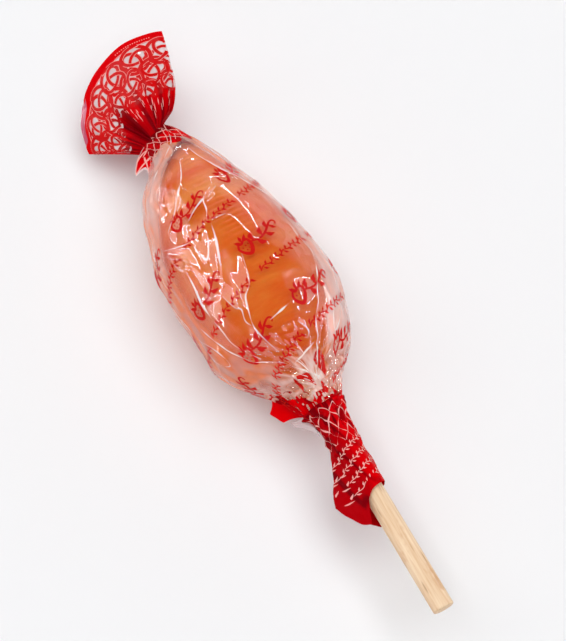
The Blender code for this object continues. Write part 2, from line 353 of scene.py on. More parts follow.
def soft_box(name, turn, rise, wide, tall, radiance, rim, only=None):
    """A box 1.5 m from the candy, in a direction given by its turn from the picture's right
    and its rise, in degrees. Its cloth glows, and a brighter rim goes all round it."""
    t, r = math.radians(turn), math.radians(rise)
    away = Vector(BOX_DISTANCE * (math.cos(r) * (math.cos(t) * image_right + math.sin(t) * floor_up)
                                  + math.sin(r) * np.array((0, 0, 1.0))))
    centre = LIT_POINT + away
    facing = away.to_track_quat("Z", "Y").to_matrix()
    lamp(name, centre, facing, 0, 0, wide, tall, radiance, only)
    sides = ((0, tall / 2, wide, RIM_WIDTH), (0, -tall / 2, wide, RIM_WIDTH),
             (wide / 2, 0, RIM_WIDTH, tall), (-wide / 2, 0, RIM_WIDTH, tall))
    for k, (x, y, w, h) in enumerate(sides if rim > 0 else ()):
        lamp(f"{name}_rim_{k}", centre, facing, x, y, w, h, rim, "glossy")


# %% Lights
# Each row: name, turn, rise, width and height in metres, glow, glow of the rim, seen by.
SOFT_BOXES = (
    ("left_box", 170, 47, 0.95, 0.80, 1.45, 80.0, None),
    ("right_box", 12, 34, 0.95, 0.80, 1.60, 80.0, "glossy"),
    ("far_box", 92, 30, 1.2, 0.70, 0.18, 60.0, "glossy"),
    ("left_card", 178, 16, 1.3, 0.30, 1.30, 70.0, "glossy"),
    ("right_card", 2, 10, 1.2, 0.26, 1.20, 70.0, "glossy"),
    ("near_card", 262, 34, 0.9, 0.34, 1.00, 70.0, "glossy"),
    ("left_wall", 180, 7, 2.4, 0.55, 0.5, 0.0, "glossy"),
    ("right_wall", 0, 7, 2.4, 0.55, 0.5, 0.0, "glossy"),
    ("far_wall", 90, 7, 2.4, 0.55, 0.5, 0.0, "glossy"),
    ("near_wall", 270, 7, 2.4, 0.55, 0.5, 0.0, "glossy"),
)
BOUNCE_ASIDE, BOUNCE_HEIGHT, BOUNCE_SIZE, BOUNCE_GLOW = 0.19, 1.6, 1.9, 2.50

studio_world()
for box in SOFT_BOXES:
    soft_box(*box)
overhead = LIT_POINT + Vector(BOUNCE_ASIDE * image_right) + Vector((0, 0, BOUNCE_HEIGHT))
lamp("bounce", overhead, Matrix.Identity(3), 0, 0, BOUNCE_SIZE, BOUNCE_SIZE, BOUNCE_GLOW, "diffuse")

# %% [markdown]
# ## The candy
#
# Boiled sugar is poured or pressed into an egg and is clear all through. Its skin isn't
# smooth: pulling and cooling leave ripples across the ridge that faces up, and a soft orange
# peel elsewhere. A body of revolution would be too even, so the egg is a function of the
# share of its length and the angle round it, with the relief added along its normal.

# %% Egg shape
CANDY_TOP, CANDY_LENGTH = 6.5, 61.5
CANDY_HALF_WIDTH, CANDY_FLATNESS, CANDY_WIDEST = 16.2, 0.93, 0.60
CANDY_TOP_POWER, CANDY_FOOT_POWER = 0.74, 0.47
CANDY_CENTRE = ((6.5, 3.2), (13.0, 1.1), (20.0, 0.0), (30.0, -0.3), (45.0, -0.1), (58.0, -0.3), (68.0, 0.7))
RIPPLE_PITCH, RIPPLE_DEPTH = 1.35, 0.15


def candy_half_width(share):
    """Egg profile: a power of the distance from each end, highest at CANDY_WIDEST."""
    share = np.clip(share, 0.0, 1.0)
    return (CANDY_HALF_WIDTH * (share / CANDY_WIDEST) ** CANDY_TOP_POWER
            * ((1 - share) / (1 - CANDY_WIDEST)) ** CANDY_FOOT_POWER)


def candy_smooth(share, theta):
    """Egg: a circle of the half width, a little flattened, round the candy's middle line."""
    x = CANDY_TOP + share * CANDY_LENGTH
    half, (centre,) = candy_half_width(share), sections(x, CANDY_CENTRE)
    return stack(x, centre + half * np.cos(theta), AXIS_HEIGHT + CANDY_FLATNESS * half * np.sin(theta))


def candy_relief(points, theta):
    """Ripples across the top ridge, bent by noise, plus orange peel at three sizes."""
    ridge = np.exp(-((theta - math.radians(84)) / 0.26) ** 2) + 0.35 * np.exp(-((theta - 0.5) / 0.5) ** 2)
    bend = 2.2 * noise(points, 4.0, 11)
    ripple = np.sin(2 * math.pi * points[..., 0] / RIPPLE_PITCH + bend)
    patchy = np.clip(0.5 + 0.9 * noise(points, 6.0, 12), 0, 1)
    return (RIPPLE_DEPTH * ridge * ripple * patchy + 0.10 * noise(points, 5.0, 13)
            + 0.045 * noise(points, 1.6, 14) + 0.02 * noise(points, 0.7, 15) * (0.4 + ridge))


def candy_skin(share, theta):
    """The egg with its relief along the normal."""
    points = candy_smooth(share, theta)
    out = normals_of(candy_smooth, share, theta, 1e-4, 1e-3)
    return points + candy_relief(points, theta)[..., None] * out


print("candy's half width in mm:", [round(float(candy_half_width(s)), 1) for s in (0.2, 0.4, 0.6, 0.8)])

# %% [markdown]
# Boiled sugar is a coloured glass with fine air bubbles, so light goes some millimetres into
# it before it comes back out: subsurface scattering does this, with red going deepest. A thin
# clear shine lies over it. Bubbles and pull marks make slow changes of colour.

# %% Boiled sugar
def sugar_material():
    """Orange boiled sugar: pulled hot and cooled, clear with fine bubbles, IOR 1.5. Pull marks
    are about 5 mm long and wide streaks of a deeper and a paler orange."""
    made, tree = new_material("boiled_sugar")
    where = node(tree, "TexCoord").outputs["Object"]
    squeezed = node(tree, "Mapping", {"Vector": where, "Scale": (2.0, 0.7, 0.7)})
    pulled = node(tree, "TexNoise", {"Vector": squeezed.outputs["Vector"], "Scale": 90.0,
                                     "Detail": 4.0, "Roughness": 0.55})
    colour = node(tree, "ValToRGB", {"Fac": pulled.outputs["Fac"]})
    deep, pale = colour.color_ramp.elements
    deep.position, deep.color = 0.30, srgb("e2560e")
    pale.position, pale.color = 0.72, srgb("ea8a32")
    fine = node(tree, "TexNoise", {"Vector": where, "Scale": 900.0, "Detail": 2.0})
    bump = node(tree, "Bump", {"Height": fine.outputs["Fac"], "Strength": 0.25, "Distance": 0.0001})
    shade = node(tree, "BsdfPrincipled", {
        "Base Color": colour.outputs["Color"], "Roughness": 0.10, "IOR": 1.5, "Specular IOR Level": 0.22,
        "Subsurface Weight": 0.55, "Subsurface Radius": (1.0, 0.35, 0.12), "Subsurface Scale": 0.004,
        "Normal": bump.outputs["Normal"]})
    node(tree, "OutputMaterial", {"Surface": shade.outputs["BSDF"]})
    return made


# %% Candy piece
CANDY_ROWS, CANDY_COLUMNS = 260, 300
shares = 0.5 - 0.5 * np.cos(np.linspace(0.0, 1.0, CANDY_ROWS) * math.pi)
points = candy_skin(*ring_grid(0.0006 + 0.9988 * shares, CANDY_COLUMNS))
candy = make_piece("candy_egg", *shut_tube(points), sugar_material(), "boiled_sugar")
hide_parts("candy")

# %% [markdown]
# ## The stick
#
# A turned beech dowel, 4.8 mm thick, cut off a little aslant with its edge just broken. Its
# profile is carried along the axis: radius at each place along it, then a chamfer and the
# flat end. Beech shows short darker pores along the grain and soft tan spots.

# %% Stick
STICK_RADIUS, STICK_INNER, CHAMFER, SLANT = 2.4, 46.0, 0.40, 0.07


def stick_skin(step, theta):
    """Dowel: radius by place along it, with the free end cut aslant and its edge rounded. A
    step above 1 is a ring of the flat end, smaller the higher it is."""
    share = np.clip(step, 0, 1)
    x = STICK_INNER + (STICK_END - STICK_INNER) * share
    end = np.clip((x - (STICK_END - CHAMFER)) / CHAMFER, 0, 1)
    radius = STICK_RADIUS - CHAMFER * (1 - np.sqrt(1 - 0.98 * end**2))
    radius = radius * np.where(step > 1, np.clip(2 - step, 0, 1), 1.0)
    radius = radius + 0.012 * np.sin(3 * theta + 0.05 * x) * (step <= 1)
    z = radius * np.sin(theta)
    cut = SLANT * (STICK_RADIUS - z) * smooth_step(x, STICK_END - 6, STICK_END)
    return stack(x - cut, radius * np.cos(theta), AXIS_HEIGHT + z)


def beech_material():
    """Raw beech, turned to a dowel and sanded: pale tan, matt. Its pores are 1 to 2 mm long,
    and soft tan spots lie over the grain."""
    made, tree = new_material("raw_beech")
    where = node(tree, "TexCoord").outputs["Object"]
    long = node(tree, "Mapping", {"Vector": where, "Scale": (0.07, 1.0, 1.0)})
    grain = node(tree, "TexNoise", {"Vector": long.outputs["Vector"], "Scale": 1500.0, "Detail": 4.0})
    tone = node(tree, "ValToRGB", {"Fac": grain.outputs["Fac"]})
    dark_grain, pale_grain = tone.color_ramp.elements
    dark_grain.position, dark_grain.color = 0.32, srgb("e2ba90")
    pale_grain.position, pale_grain.color = 0.66, srgb("f7dbb8")
    pore_map = node(tree, "Mapping", {"Vector": where, "Scale": (0.13, 1.0, 1.0)})
    pores = node(tree, "TexVoronoi", {"Vector": pore_map.outputs["Vector"], "Scale": 1050.0,
                                      "Randomness": 1.0})
    dark = node(tree, "MapRange", {"Value": pores.outputs["Distance"], "From Min": 0.10,
                                   "From Max": 0.26, "To Min": 0.55, "To Max": 0.0})
    with_pores = node(tree, "Mix", {"Factor": dark.outputs["Result"], 6: tone.outputs["Color"],
                                    7: srgb("a9744a")}, data_type="RGBA")
    spot_map = node(tree, "Mapping", {"Vector": where, "Scale": (0.45, 1.0, 1.0)})
    spots = node(tree, "TexNoise", {"Vector": spot_map.outputs["Vector"], "Scale": 420.0, "Detail": 2.0})
    tan = node(tree, "MapRange", {"Value": spots.outputs["Fac"], "From Min": 0.60,
                                  "From Max": 0.74, "To Min": 0.0, "To Max": 0.6})
    colour = node(tree, "Mix", {"Factor": tan.outputs["Result"], 6: with_pores.outputs[2],
                                7: srgb("d09562")}, data_type="RGBA")
    bump = node(tree, "Bump", {"Height": grain.outputs["Fac"], "Strength": 0.35, "Distance": 0.00008})
    shade = node(tree, "BsdfPrincipled", {"Base Color": colour.outputs[2], "Roughness": 0.62,
                                          "Specular IOR Level": 0.3, "Normal": bump.outputs["Normal"]})
    node(tree, "OutputMaterial", {"Surface": shade.outputs["BSDF"]})
    return made


STICK_COLUMNS = 120
steps = np.concatenate([np.linspace(0, 0.994, 160), np.linspace(0.9945, 1.0, 12), (1.25, 1.5, 1.75)])
points = stick_skin(*ring_grid(steps, STICK_COLUMNS))
stick = make_piece("dowel", *shut_tube(points), beech_material(), "beech")
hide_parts("stick")

# %% [markdown]
# ## The film
#
# The wrapper is one tube of thin film. Its middle part is a loose bag, known by its sections
# along the stick. It is gathered into pleats at the neck and below the candy. Cloth
# simulation would give film too soft a fall, because film keeps hard creases, so its folds
# are written down instead: pleats as waves round the section, and creases as lines on the
# flat film, each a low ridge with a sharp back.
#
# Flat film has two coordinates in millimetres: x along the stick, and u round the bag, 0 at
# the top and growing to the right. The angle round the section is a quarter turn minus u / R.

# %% Bag shape
FLAT_RADIUS = 17.2
PLEAT_DEPTH, PLEAT_REACH = 0.55, 9.0
NECK_PLEATS, GATHER_PLEATS = (11, 0.4), (13, 1.3)
BAG_START, BAG_END = 2.1, 77.3
# Each row: x, the left side, the right side, half the height, and the slant of the section.
BAG_STATIONS = (
    (2.1, -6.4, 2.1, 2.3, -0.45),
    (4.8, -6.5, 3.9, 4.0, -0.38),
    (9.0, -7.7, 6.5, 6.7, -0.20),
    (13.5, -10.6, 8.8, 9.3, -0.08),
    (20.5, -13.7, 11.5, 12.2, 0.0),
    (28.0, -16.1, 14.2, 14.5, 0.0),
    (35.0, -17.8, 16.1, 15.8, 0.0),
    (42.0, -17.5, 17.0, 16.3, 0.0),
    (48.0, -17.1, 17.7, 16.4, 0.0),
    (53.0, -17.0, 17.9, 16.0, 0.0),
    (57.5, -16.6, 17.2, 15.0, 0.0),
    (62.0, -15.0, 15.6, 13.1, 0.0),
    (66.5, -11.8, 13.0, 10.4, 0.0),
    (70.2, -8.8, 9.7, 7.8, 0.0),
    (73.5, -6.4, 6.4, 5.6, 0.0),
    (77.3, -4.5, 4.0, 4.3, 0.0),
)


def pleats(theta, count, drift):
    """Rounded pleats that run lengthways, from 0 in a valley to 1 on a fold."""
    uneven = 0.35 * np.sin(2 * theta + 1.0) + 0.2 * np.sin(5 * theta + drift)
    return 0.5 + 0.5 * np.cos(count * theta + uneven + drift)


def bag_smooth(x, theta):
    """Loose film: an ellipse between its left and right side, plus the pleats of both ends."""
    left, right, half, slant = sections(x, BAG_STATIONS)
    near_neck = np.exp(-((x / PLEAT_REACH) ** 2))
    near_gather = np.exp(-(((x - BAG_END) / PLEAT_REACH) ** 2))
    fold = PLEAT_DEPTH * (near_neck * pleats(theta, *NECK_PLEATS)
                          + near_gather * pleats(theta, *GATHER_PLEATS))
    y = (left + right) / 2 + ((right - left) / 2 + fold) * np.cos(theta)
    z = AXIS_HEIGHT + (half + fold) * np.sin(theta)
    return stack(x + slant * (y - (left + right) / 2), y, z)


def flat_u(theta):
    """Millimetres round the flat film from the top, to the right positive."""
    turned = (math.pi / 2 - theta + math.pi) % (2 * math.pi) - math.pi
    return FLAT_RADIUS * turned


bag_width = [round(float(right - left), 1) for _, left, right, _, _ in BAG_STATIONS]
print("bag's width in mm by section:", bag_width)

# %% [markdown]
# The creases were placed on the flat film, each as a few points (x, u), a height and a width. Near the crease
# the film rises to a sharp back: height times e to the minus distance over width, with the tip rounded to a
# tenth of a millimetre.

# %% Creases of the bag
CREASE_TIP = 0.12
CREASES = (
    (0.30, 1.0, ((4.0, 9.0), (7.5, 3.3), (10.4, -3.8), (13.7, -10.6), (16.2, -14.2), (22.0, -19.0))),
    (0.24, 0.8, ((32.1, -15.4), (34.3, -9.3), (33.8, -6.3), (32.6, -3.2), (32.8, 1.5))),
    (0.22, 0.8, ((30.1, -7.1), (28.1, -4.0), (27.0, -1.3), (26.4, 1.0), (25.0, 4.0))),
    (0.18, 0.6, ((27.0, -1.3), (29.9, -1.8), (32.6, -3.2))),
    (0.26, 1.0, ((32.8, -3.0), (35.1, -7.8), (40.0, -7.9), (37.2, -5.4), (34.1, -4.1))),
    (0.28, 0.9, ((33.2, -2.4), (36.9, -3.5), (42.5, -5.9), (46.9, -8.2))),
    (0.28, 0.9, ((33.3, -15.2), (38.2, -14.4), (38.6, -13.4), (42.6, -14.2), (47.7, -15.2),
                 (54.7, -14.2), (58.6, -13.7), (64.0, -11.0))),
    (0.24, 0.9, ((50.3, -20.0), (54.0, -18.3), (59.4, -15.7), (63.6, -13.2))),
    (0.30, 0.8, ((51.9, -23.0), (57.6, -22.1), (60.9, -19.1), (57.2, -18.8), (51.9, -23.0))),
    (0.28, 0.9, ((43.0, -1.0), (49.6, -3.2), (51.8, -5.4), (54.4, -6.3), (58.8, -7.1), (64.7, -5.9))),
    (0.22, 0.8, ((48.9, -9.7), (52.6, -8.6), (53.7, -7.6), (56.1, -8.1), (57.8, -7.4))),
    (0.28, 0.8, ((40.0, 14.0), (43.6, 13.8), (47.6, 14.4), (51.6, 12.7), (55.7, 10.3), (61.0, 8.0))),
    (0.26, 0.7, ((54.0, 12.3), (59.7, 13.6), (62.6, 12.4), (65.4, 11.9), (63.8, 14.4),
                 (59.8, 17.0), (54.0, 18.0))),
    (0.26, 0.8, ((59.0, 8.9), (62.1, 6.8), (65.2, 5.6), (67.2, 4.4), (72.0, 3.0))),
    (0.30, 0.7, ((68.2, -5.2), (67.3, -0.3), (66.1, 4.6))),
    (0.30, 0.7, ((63.6, -13.2), (66.6, -7.7), (69.9, -3.0), (72.2, 2.6), (74.0, 8.0))),
    (0.20, 0.7, ((61.4, 2.3), (63.8, 3.8), (65.1, 2.6))),
    (0.22, 0.6, ((58.7, -3.3), (58.1, -0.3), (57.3, 2.7))),
    (0.24, 0.8, ((12.0, 6.0), (18.0, 8.0), (25.0, 12.5), (31.0, 17.0))),
    (0.20, 0.8, ((14.0, 0.0), (19.0, -3.0), (24.0, -8.0), (29.0, -13.0))),
    (0.26, 0.9, ((20.0, -24.0), (28.0, -27.0), (38.0, -27.0), (48.0, -25.0), (56.0, -27.0))),
    (0.26, 0.9, ((24.0, 22.0), (33.0, 25.0), (45.0, 24.0), (56.0, 22.0), (66.0, 19.0))),
    (0.26, 0.9, ((16.0, 36.0), (26.0, 42.0), (40.0, 38.0), (52.0, 43.0), (64.0, 37.0))),
    (0.26, 0.9, ((16.0, -36.0), (28.0, -41.0), (40.0, -38.0), (54.0, -44.0), (66.0, -38.0))),
)


def crease_height(x, u, lines):
    """Sum of creases: height x exp(-(distance to the line, rounded at its tip) / width)."""
    total = np.zeros(np.broadcast(x, u).shape)
    for height, width, line in lines:
        nearest = np.full(total.shape, 1e9)
        for (xa, ua), (xb, ub) in zip(line, line[1:]):
            dx, du = xb - xa, ub - ua
            t = np.clip(((x - xa) * dx + (u - ua) * du) / (dx * dx + du * du), 0, 1)
            nearest = np.minimum(nearest, np.hypot(x - xa - t * dx, u - ua - t * du))
        total += height * np.exp(-(np.hypot(nearest, CREASE_TIP) - CREASE_TIP) / width)
    return total


GATHER_STAR = (74.0, 1.0)


def gather_rays(x, u):
    """Folds that meet in one point of the gather: noise over the angle round that point, drawn
    out along the rays, from about -1 in a valley to 0.6 on a sharp fold. Also gives how far
    each place is from that point."""
    ahead, aside = GATHER_STAR[0] - x, GATHER_STAR[1] - u
    angle, far = np.arctan2(ahead, aside), np.hypot(ahead, aside)
    rays = noise(stack(angle * 5.5, far * 0.10, 0.4 * far * np.sin(angle)), 1.0, 35)
    return (0.6 - 2.2 * np.abs(rays)) * smooth_step(far, 0.5, 5.0), far


print("creases:", len(CREASES), "highest in mm:", max(height for height, _, _ in CREASES))

# %% [markdown]
# All relief is one sum of heights over the smooth bag: dents, wrinkles, streaks, crumples,
# creases and pleats. What would touch the candy or the table is then moved clear of it, since
# loose film lies on things and never in them.

# %% Relief of the bag
CANDY_CLEARANCE, TABLE_CLEARANCE = 0.22, 0.08
END_REACH = 8.0


def bag_relief(points, x, theta):
    """Dents of the loose film 8 mm wide, long wrinkles along the stick 3 mm wide, creases, and
    sharp crumples and pleats near both ends."""
    u = flat_u(theta)
    ends = np.exp(-((x / END_REACH) ** 2)) + np.exp(-(((x - BAG_END) / END_REACH) ** 2))
    loose = 0.35 + 0.65 * smooth_step(np.abs(u - 4.0), 3.0, 11.0)
    foot = smooth_step(x, 62.0, 71.0)
    left = smooth_step(-u, 2.0, 12.0)
    bent = points + 1.6 * noise(points, 7.0, 26)[..., None]
    dents = 0.42 * noise(points, 8.5, 21) + 0.14 * crumple(points, 9.0, 23)
    wrinkles = loose * (0.20 * noise(drawn_out(bent, 0.30), 3.0, 27) + 0.10 * noise(points, 3.6, 30))
    streaks = 0.6 - np.abs(noise(drawn_out(bent, 0.16), 1.7, 29)) * 2
    rays, far = gather_rays(x, u)
    fine = np.abs(np.sin(14.5 * theta + 0.9 * np.sin(3 * theta) + 0.25 * x)) - 0.6
    finer = np.abs(np.sin(31 * theta - 0.4 * x)) - 0.6
    pleated = ends * (0.32 * fine + 0.14 * finer + 0.25 * crumple(points, 3.0, 25) - 0.45)
    return (dents + wrinkles + (0.05 * loose + 0.06 * left + 0.10 * foot) * streaks
            + 0.42 * rays * (1 - smooth_step(far, 10.0, 17.0)) + crease_height(x, u, CREASES)
            + 0.24 * foot * crumple(points, 4.5, 28) + pleated - 0.12)


def clear_of_candy(points, margin):
    """Points that would lie in the candy are moved straight out of it, to the margin."""
    x, y, z = points[..., 0], points[..., 1], points[..., 2]
    half, (centre,) = candy_half_width((x - CANDY_TOP) / CANDY_LENGTH), sections(x, CANDY_CENTRE)
    inside = (x > CANDY_TOP) & (x < CANDY_TOP + CANDY_LENGTH) & (half > 0.5)
    wide, high = half + margin, CANDY_FLATNESS * half + margin
    far = np.hypot((y - centre) / wide, (z - AXIS_HEIGHT) / high)
    grow = np.where(inside & (far < 1), 1 / np.maximum(far, 1e-6), 1.0)
    return stack(x, centre + (y - centre) * grow, AXIS_HEIGHT + (z - AXIS_HEIGHT) * grow)


def bag_film(x, theta):
    """The crumpled bag: smooth bag plus relief along its normal, clear of candy and table."""
    points = bag_smooth(x, theta)
    out = normals_of(bag_smooth, x, theta, 0.05, 0.003)
    moved = clear_of_candy(points + bag_relief(points, x, theta)[..., None] * out, CANDY_CLEARANCE)
    moved[..., 2] = np.maximum(moved[..., 2], TABLE_CLEARANCE)
    return moved


print("top of the bag at x = 50 mm:", bag_film(np.array([50.0]), np.array([math.pi / 2]))[0].round(2))

# %% [markdown]
# Beyond the neck the tube is pressed flat into a fan. A point of it is given by a share of
# the way from the neck to the border and the same angle as in the bag, so the front and the
# back layer are the upper and the lower half of the tube, and both side edges are closed.

# %% Fan shape
FAN_REACH_TIP, FAN_REACH_CORNER, FAN_REACH_POWER = 24.8, 17.9, 1.35
FAN_TURN = (math.radians(-35.0), math.radians(57.0))
FAN_RISE = (math.radians(20.0), math.radians(-34.0))
FAN_HALF_THICKNESS, FAN_WAVE, FAN_WAVES = 0.7, 0.35, 3.5
FAN_SIDE = ((0.0, 0.082, 0.233, 0.39, 0.527, 0.70, 0.83, 1.0), (0.0, 2.5, 3.2, 3.0, 2.3, 1.6, 0.95, 0.0))
FAN_CREASE, FAN_SPREAD = 0.605, 0.85

root_ring = bag_smooth(*ring_grid([BAG_START], 56))
FAN_ROOT = root_ring[0].mean(axis=0)


def fan_reach(place):
    """Millimetres from the neck to the border: from the tip to the corner, by a power of the
    place across the fan."""
    return FAN_REACH_TIP + (FAN_REACH_CORNER - FAN_REACH_TIP) * place ** FAN_REACH_POWER


def fan_directions(place):
    """Unit vectors of the fan at a place across it: out from the neck, and off its face."""
    turn = FAN_TURN[0] + (FAN_TURN[1] - FAN_TURN[0]) * place
    rise = FAN_RISE[0] + (FAN_RISE[1] - FAN_RISE[0]) * place
    out = stack(-np.cos(turn) * np.cos(rise), -np.sin(turn) * np.cos(rise), np.sin(rise))
    off = stack(np.cos(turn) * np.sin(rise), np.sin(turn) * np.sin(rise), np.cos(rise))
    return out, off


def fan_relief(share, place):
    """Height off the face: border waves, sharp pleats that fade outwards, one deep fold that
    runs from the neck to the middle, and the raised lobe beside it."""
    fade = share ** 0.6 * (1 - share) ** 2.6
    sharp = np.abs(np.sin(math.pi * (7.5 * place + 0.35 * np.sin(9 * place)))) - 0.5
    sharper = np.abs(np.sin(math.pi * (17 * place + 0.2))) - 0.5
    deep = np.exp(-(np.abs(place - FAN_CREASE) / 0.045) ** 1.2) * smooth_step(0.62 - share, 0.0, 0.35)
    lobe = np.exp(-(((place - 0.22) / 0.16) ** 2)) * np.exp(-(((share - 0.34) / 0.17) ** 2))
    wave = FAN_WAVE * np.cos(FAN_WAVES * 2 * math.pi * place + 0.8) * share
    return wave + fade * (2.1 * sharp + 0.9 * sharper) - 3.0 * deep * share ** 0.5 + 1.3 * lobe


def fan_film(share, theta):
    """Flat film beyond the neck: the neck's ring blends into the border's curve by a power of
    the share, and the relief is added off the face of both layers. The back layer reaches
    further than the front one over half of the border."""
    start = bag_film(np.full(np.broadcast(share, theta).shape, BAG_START), theta + 0 * share)
    place = (1 - np.cos(theta)) / 2
    behind = np.clip(-np.sin(theta), 0, 1)
    reach = (fan_reach(place) - (0.7 - 1.2 * behind) * smooth_step(place, 0.35, 0.7) - 0.35
             + 0.9 * smooth_step(place, 0.86, 1.0))
    out, off = fan_directions(place)
    border = FAN_ROOT + reach[..., None] * out + (FAN_HALF_THICKNESS * np.sin(theta))[..., None] * off
    spread = (share ** FAN_SPREAD)[..., None]
    here = start * (1 - spread) + border * spread
    here[..., 1] += smooth_through(share, *FAN_SIDE) * np.clip(np.cos(theta), 0, 1) ** 3
    fat = 0.5 * np.sin(math.pi * share) * np.sin(theta)
    rough = 0.16 * crumple(here, 4.0, 31) * (1.2 - share) + 0.08 * noise(here, 2.2, 33)
    rough = rough * np.sin(math.pi * np.clip(share, 0, 1)) ** 0.4
    return here + (fan_relief(share, place) + fat + rough)[..., None] * off


print("fan's root:", FAN_ROOT.round(2), "reach in mm:", [round(fan_reach(p), 1) for p in (0, 0.5, 1)])

# %% [markdown]
# Below the candy the film is twisted round the stick. Its section is a circle with a flat
# tail that stands off to the left, and its mouth is cut slantwise: short on top of the
# stick, longer under it.

# %% Skirt shape
SKIRT_CLEARANCE = 0.25
# Each row: share of the skirt's length, half width, half height, and how far the tail sticks out.
SKIRT_STATIONS = (
    (0.0, 4.6, 4.3, 0.0),
    (0.12, 3.6, 3.7, 0.0),
    (0.32, 3.2, 3.4, 0.1),
    (0.50, 3.1, 3.3, 0.6),
    (0.70, 3.05, 3.2, 2.4),
    (0.88, 3.0, 3.2, 4.4),
    (1.0, 3.0, 3.1, 5.5),
)
# Angle in degrees, and x of the mouth there.
MOUTH = ((0, 98.2), (40, 98.6), (75, 98.9), (97, 99.2), (112, 99.8), (124, 100.7), (134, 103.0),
         (142, 105.5), (150, 104.8), (163, 101.4), (180, 97.9), (198, 99.6), (215, 103.6),
         (245, 106.0), (280, 101.8), (320, 98.4), (360, 98.2))


def mouth(theta):
    """Where the skirt ends: short on top of the stick, longer at its side and under it, and
    cut back at the tip of its tail."""
    return sections(np.degrees(theta) % 360, MOUTH)[0]


def skirt_winding(share, theta):
    """Folds that wind round the stick: 0 in a fold, 1 between two."""
    return np.abs(np.sin(2.5 * theta + 7.0 * share + 0.6 * np.sin(3 * theta)))


def skirt_smooth(share, theta):
    """Circle of the half width and height, a lobe to the left for the tail, folds at its top."""
    width, height, tail = sections(share, SKIRT_STATIONS)
    fold = 0.6 * PLEAT_DEPTH * (1 - share) ** 2 * pleats(theta, *GATHER_PLEATS)
    lobe = tail * np.clip(-np.cos(theta), 0, 1) ** 5
    twist = 0.15 * share * (1 + np.cos(4 * theta + 9 * share))
    y = (width + fold + twist) * np.cos(theta) - lobe
    z = AXIS_HEIGHT + (height + fold + twist) * np.sin(theta) - 0.35 * lobe
    return stack(BAG_END + share * (mouth(theta) - BAG_END), y, z)


def skirt_film(share, theta):
    """The skirt with its creases: folds that wind round the stick, and crumples near the top.
    What would lie in the stick is moved straight out of it."""
    points = skirt_smooth(share, theta)
    out = normals_of(skirt_smooth, share, theta, 2e-3, 4e-3)
    wind = skirt_winding(share, theta) - 0.6
    small = np.abs(np.sin(9 * theta + 12 * share)) - 0.6
    top = (1 - share) ** 1.5
    relief = (0.30 * wind * (1 - 0.5 * share) + 0.12 * small * (0.2 + top)
              + (0.16 + 0.40 * top) * crumple(points, 3.2, 41) + 0.1)
    moved = points + relief[..., None] * out
    x, y, z = moved[..., 0], moved[..., 1], moved[..., 2]
    far = np.hypot(y, z - AXIS_HEIGHT)
    grow = np.maximum(1.0, (STICK_RADIUS + SKIRT_CLEARANCE) / far)
    return stack(x, y * grow, AXIS_HEIGHT + (z - AXIS_HEIGHT) * grow)


print("skirt ends at x =", mouth(np.radians((0, 90, 180, 270))).round(1), "right, top, left and under")

# %% [markdown]
# ## Film and ink
#
# The film is clear polypropylene: it lets nearly all light through and mirrors the lamps on
# both faces, so it is a mix of a transparent and a glossy shader by Fresnel's law. Where it
# is crumpled it is hazy too, and haze shines on the side that is lit and passes part of the
# light on, so it is part diffuse and part translucent. Ink turns the film red. How much ink
# and haze a point has is stored with the mesh.

# %% Film material
# Deep red of print lying in layers, also used as painted shade.
LAYERED_AND_SHADED_RED = "7c0008"


def red_ink(tree):
    """Glossy red printing ink on film. An attribute mixes in a deeper red: where layers of print lie on each
    other, and as painted shade in folds, creases, pleat streaks and on the skirt's left half."""
    layers = node(tree, "Attribute", attribute_name="layers").outputs["Fac"]
    red = node(tree, "Mix", {"Factor": layers, 6: srgb("dc0006"), 7: srgb(LAYERED_AND_SHADED_RED)}, data_type="RGBA")
    return node(tree, "BsdfPrincipled", {
        "Base Color": red.outputs[2], "Roughness": 0.045, "IOR": 1.45, "Specular IOR Level": 0.015})


def film_material(name, haze, tinted_haze, roughness, mirror):
    """Clear cast polypropylene film, about 30 microns, printed on a part of it. Share of light
    mirrored by its two faces: mirror + 0.88 (1 - cosine)^5, the same from inside and outside.
    Crumpled film is hazy: veil is the share of haze. An attribute mixes in a second haze colour: on the bag a
    painted orange glow that stands in for the candy's light coming through the film, on the fan the pink of
    the back layer and a random blush."""
    made, tree = new_material(name)
    facing = node(tree, "LayerWeight", {"Blend": 0.5}).outputs["Facing"]
    steep = node(tree, "Math", {0: facing, 1: 5.0}, operation="POWER")
    mirrored = node(tree, "Math", {0: steep.outputs["Value"], 1: 0.88, 2: mirror}, operation="MULTIPLY_ADD")
    clear = node(tree, "BsdfTransparent", {"Color": srgb("fefcfc")})
    shine = node(tree, "BsdfGlossy", {"Color": srgb("ffffff"), "Roughness": roughness})
    tint = node(tree, "Attribute", attribute_name="tint").outputs["Fac"]
    haze_colour = node(tree, "Mix", {"Factor": tint, 6: srgb(haze), 7: srgb(tinted_haze)}, data_type="RGBA")
    lit_side = node(tree, "BsdfDiffuse", {"Color": haze_colour.outputs[2]})
    far_side = node(tree, "BsdfTranslucent", {"Color": haze_colour.outputs[2]})
    milk = node(tree, "MixShader", {0: 0.35, 1: lit_side.outputs["BSDF"], 2: far_side.outputs["BSDF"]})
    veil = node(tree, "Attribute", attribute_name="veil").outputs["Fac"]
    through = node(tree, "MixShader", {0: veil, 1: clear.outputs["BSDF"], 2: milk.outputs["Shader"]})
    glass = node(tree, "MixShader", {0: mirrored.outputs["Value"], 1: through.outputs["Shader"],
                                     2: shine.outputs["BSDF"]})
    ink = node(tree, "Attribute", attribute_name="ink")
    crisp = node(tree, "MapRange", {"Value": ink.outputs["Fac"], "From Min": 0.42, "From Max": 0.58},
                 interpolation_type="SMOOTHSTEP")
    printed = node(tree, "MixShader", {0: crisp.outputs["Result"], 1: glass.outputs["Shader"],
                                       2: red_ink(tree).outputs["BSDF"]})
    node(tree, "OutputMaterial", {"Surface": printed.outputs["Shader"]})
    return made


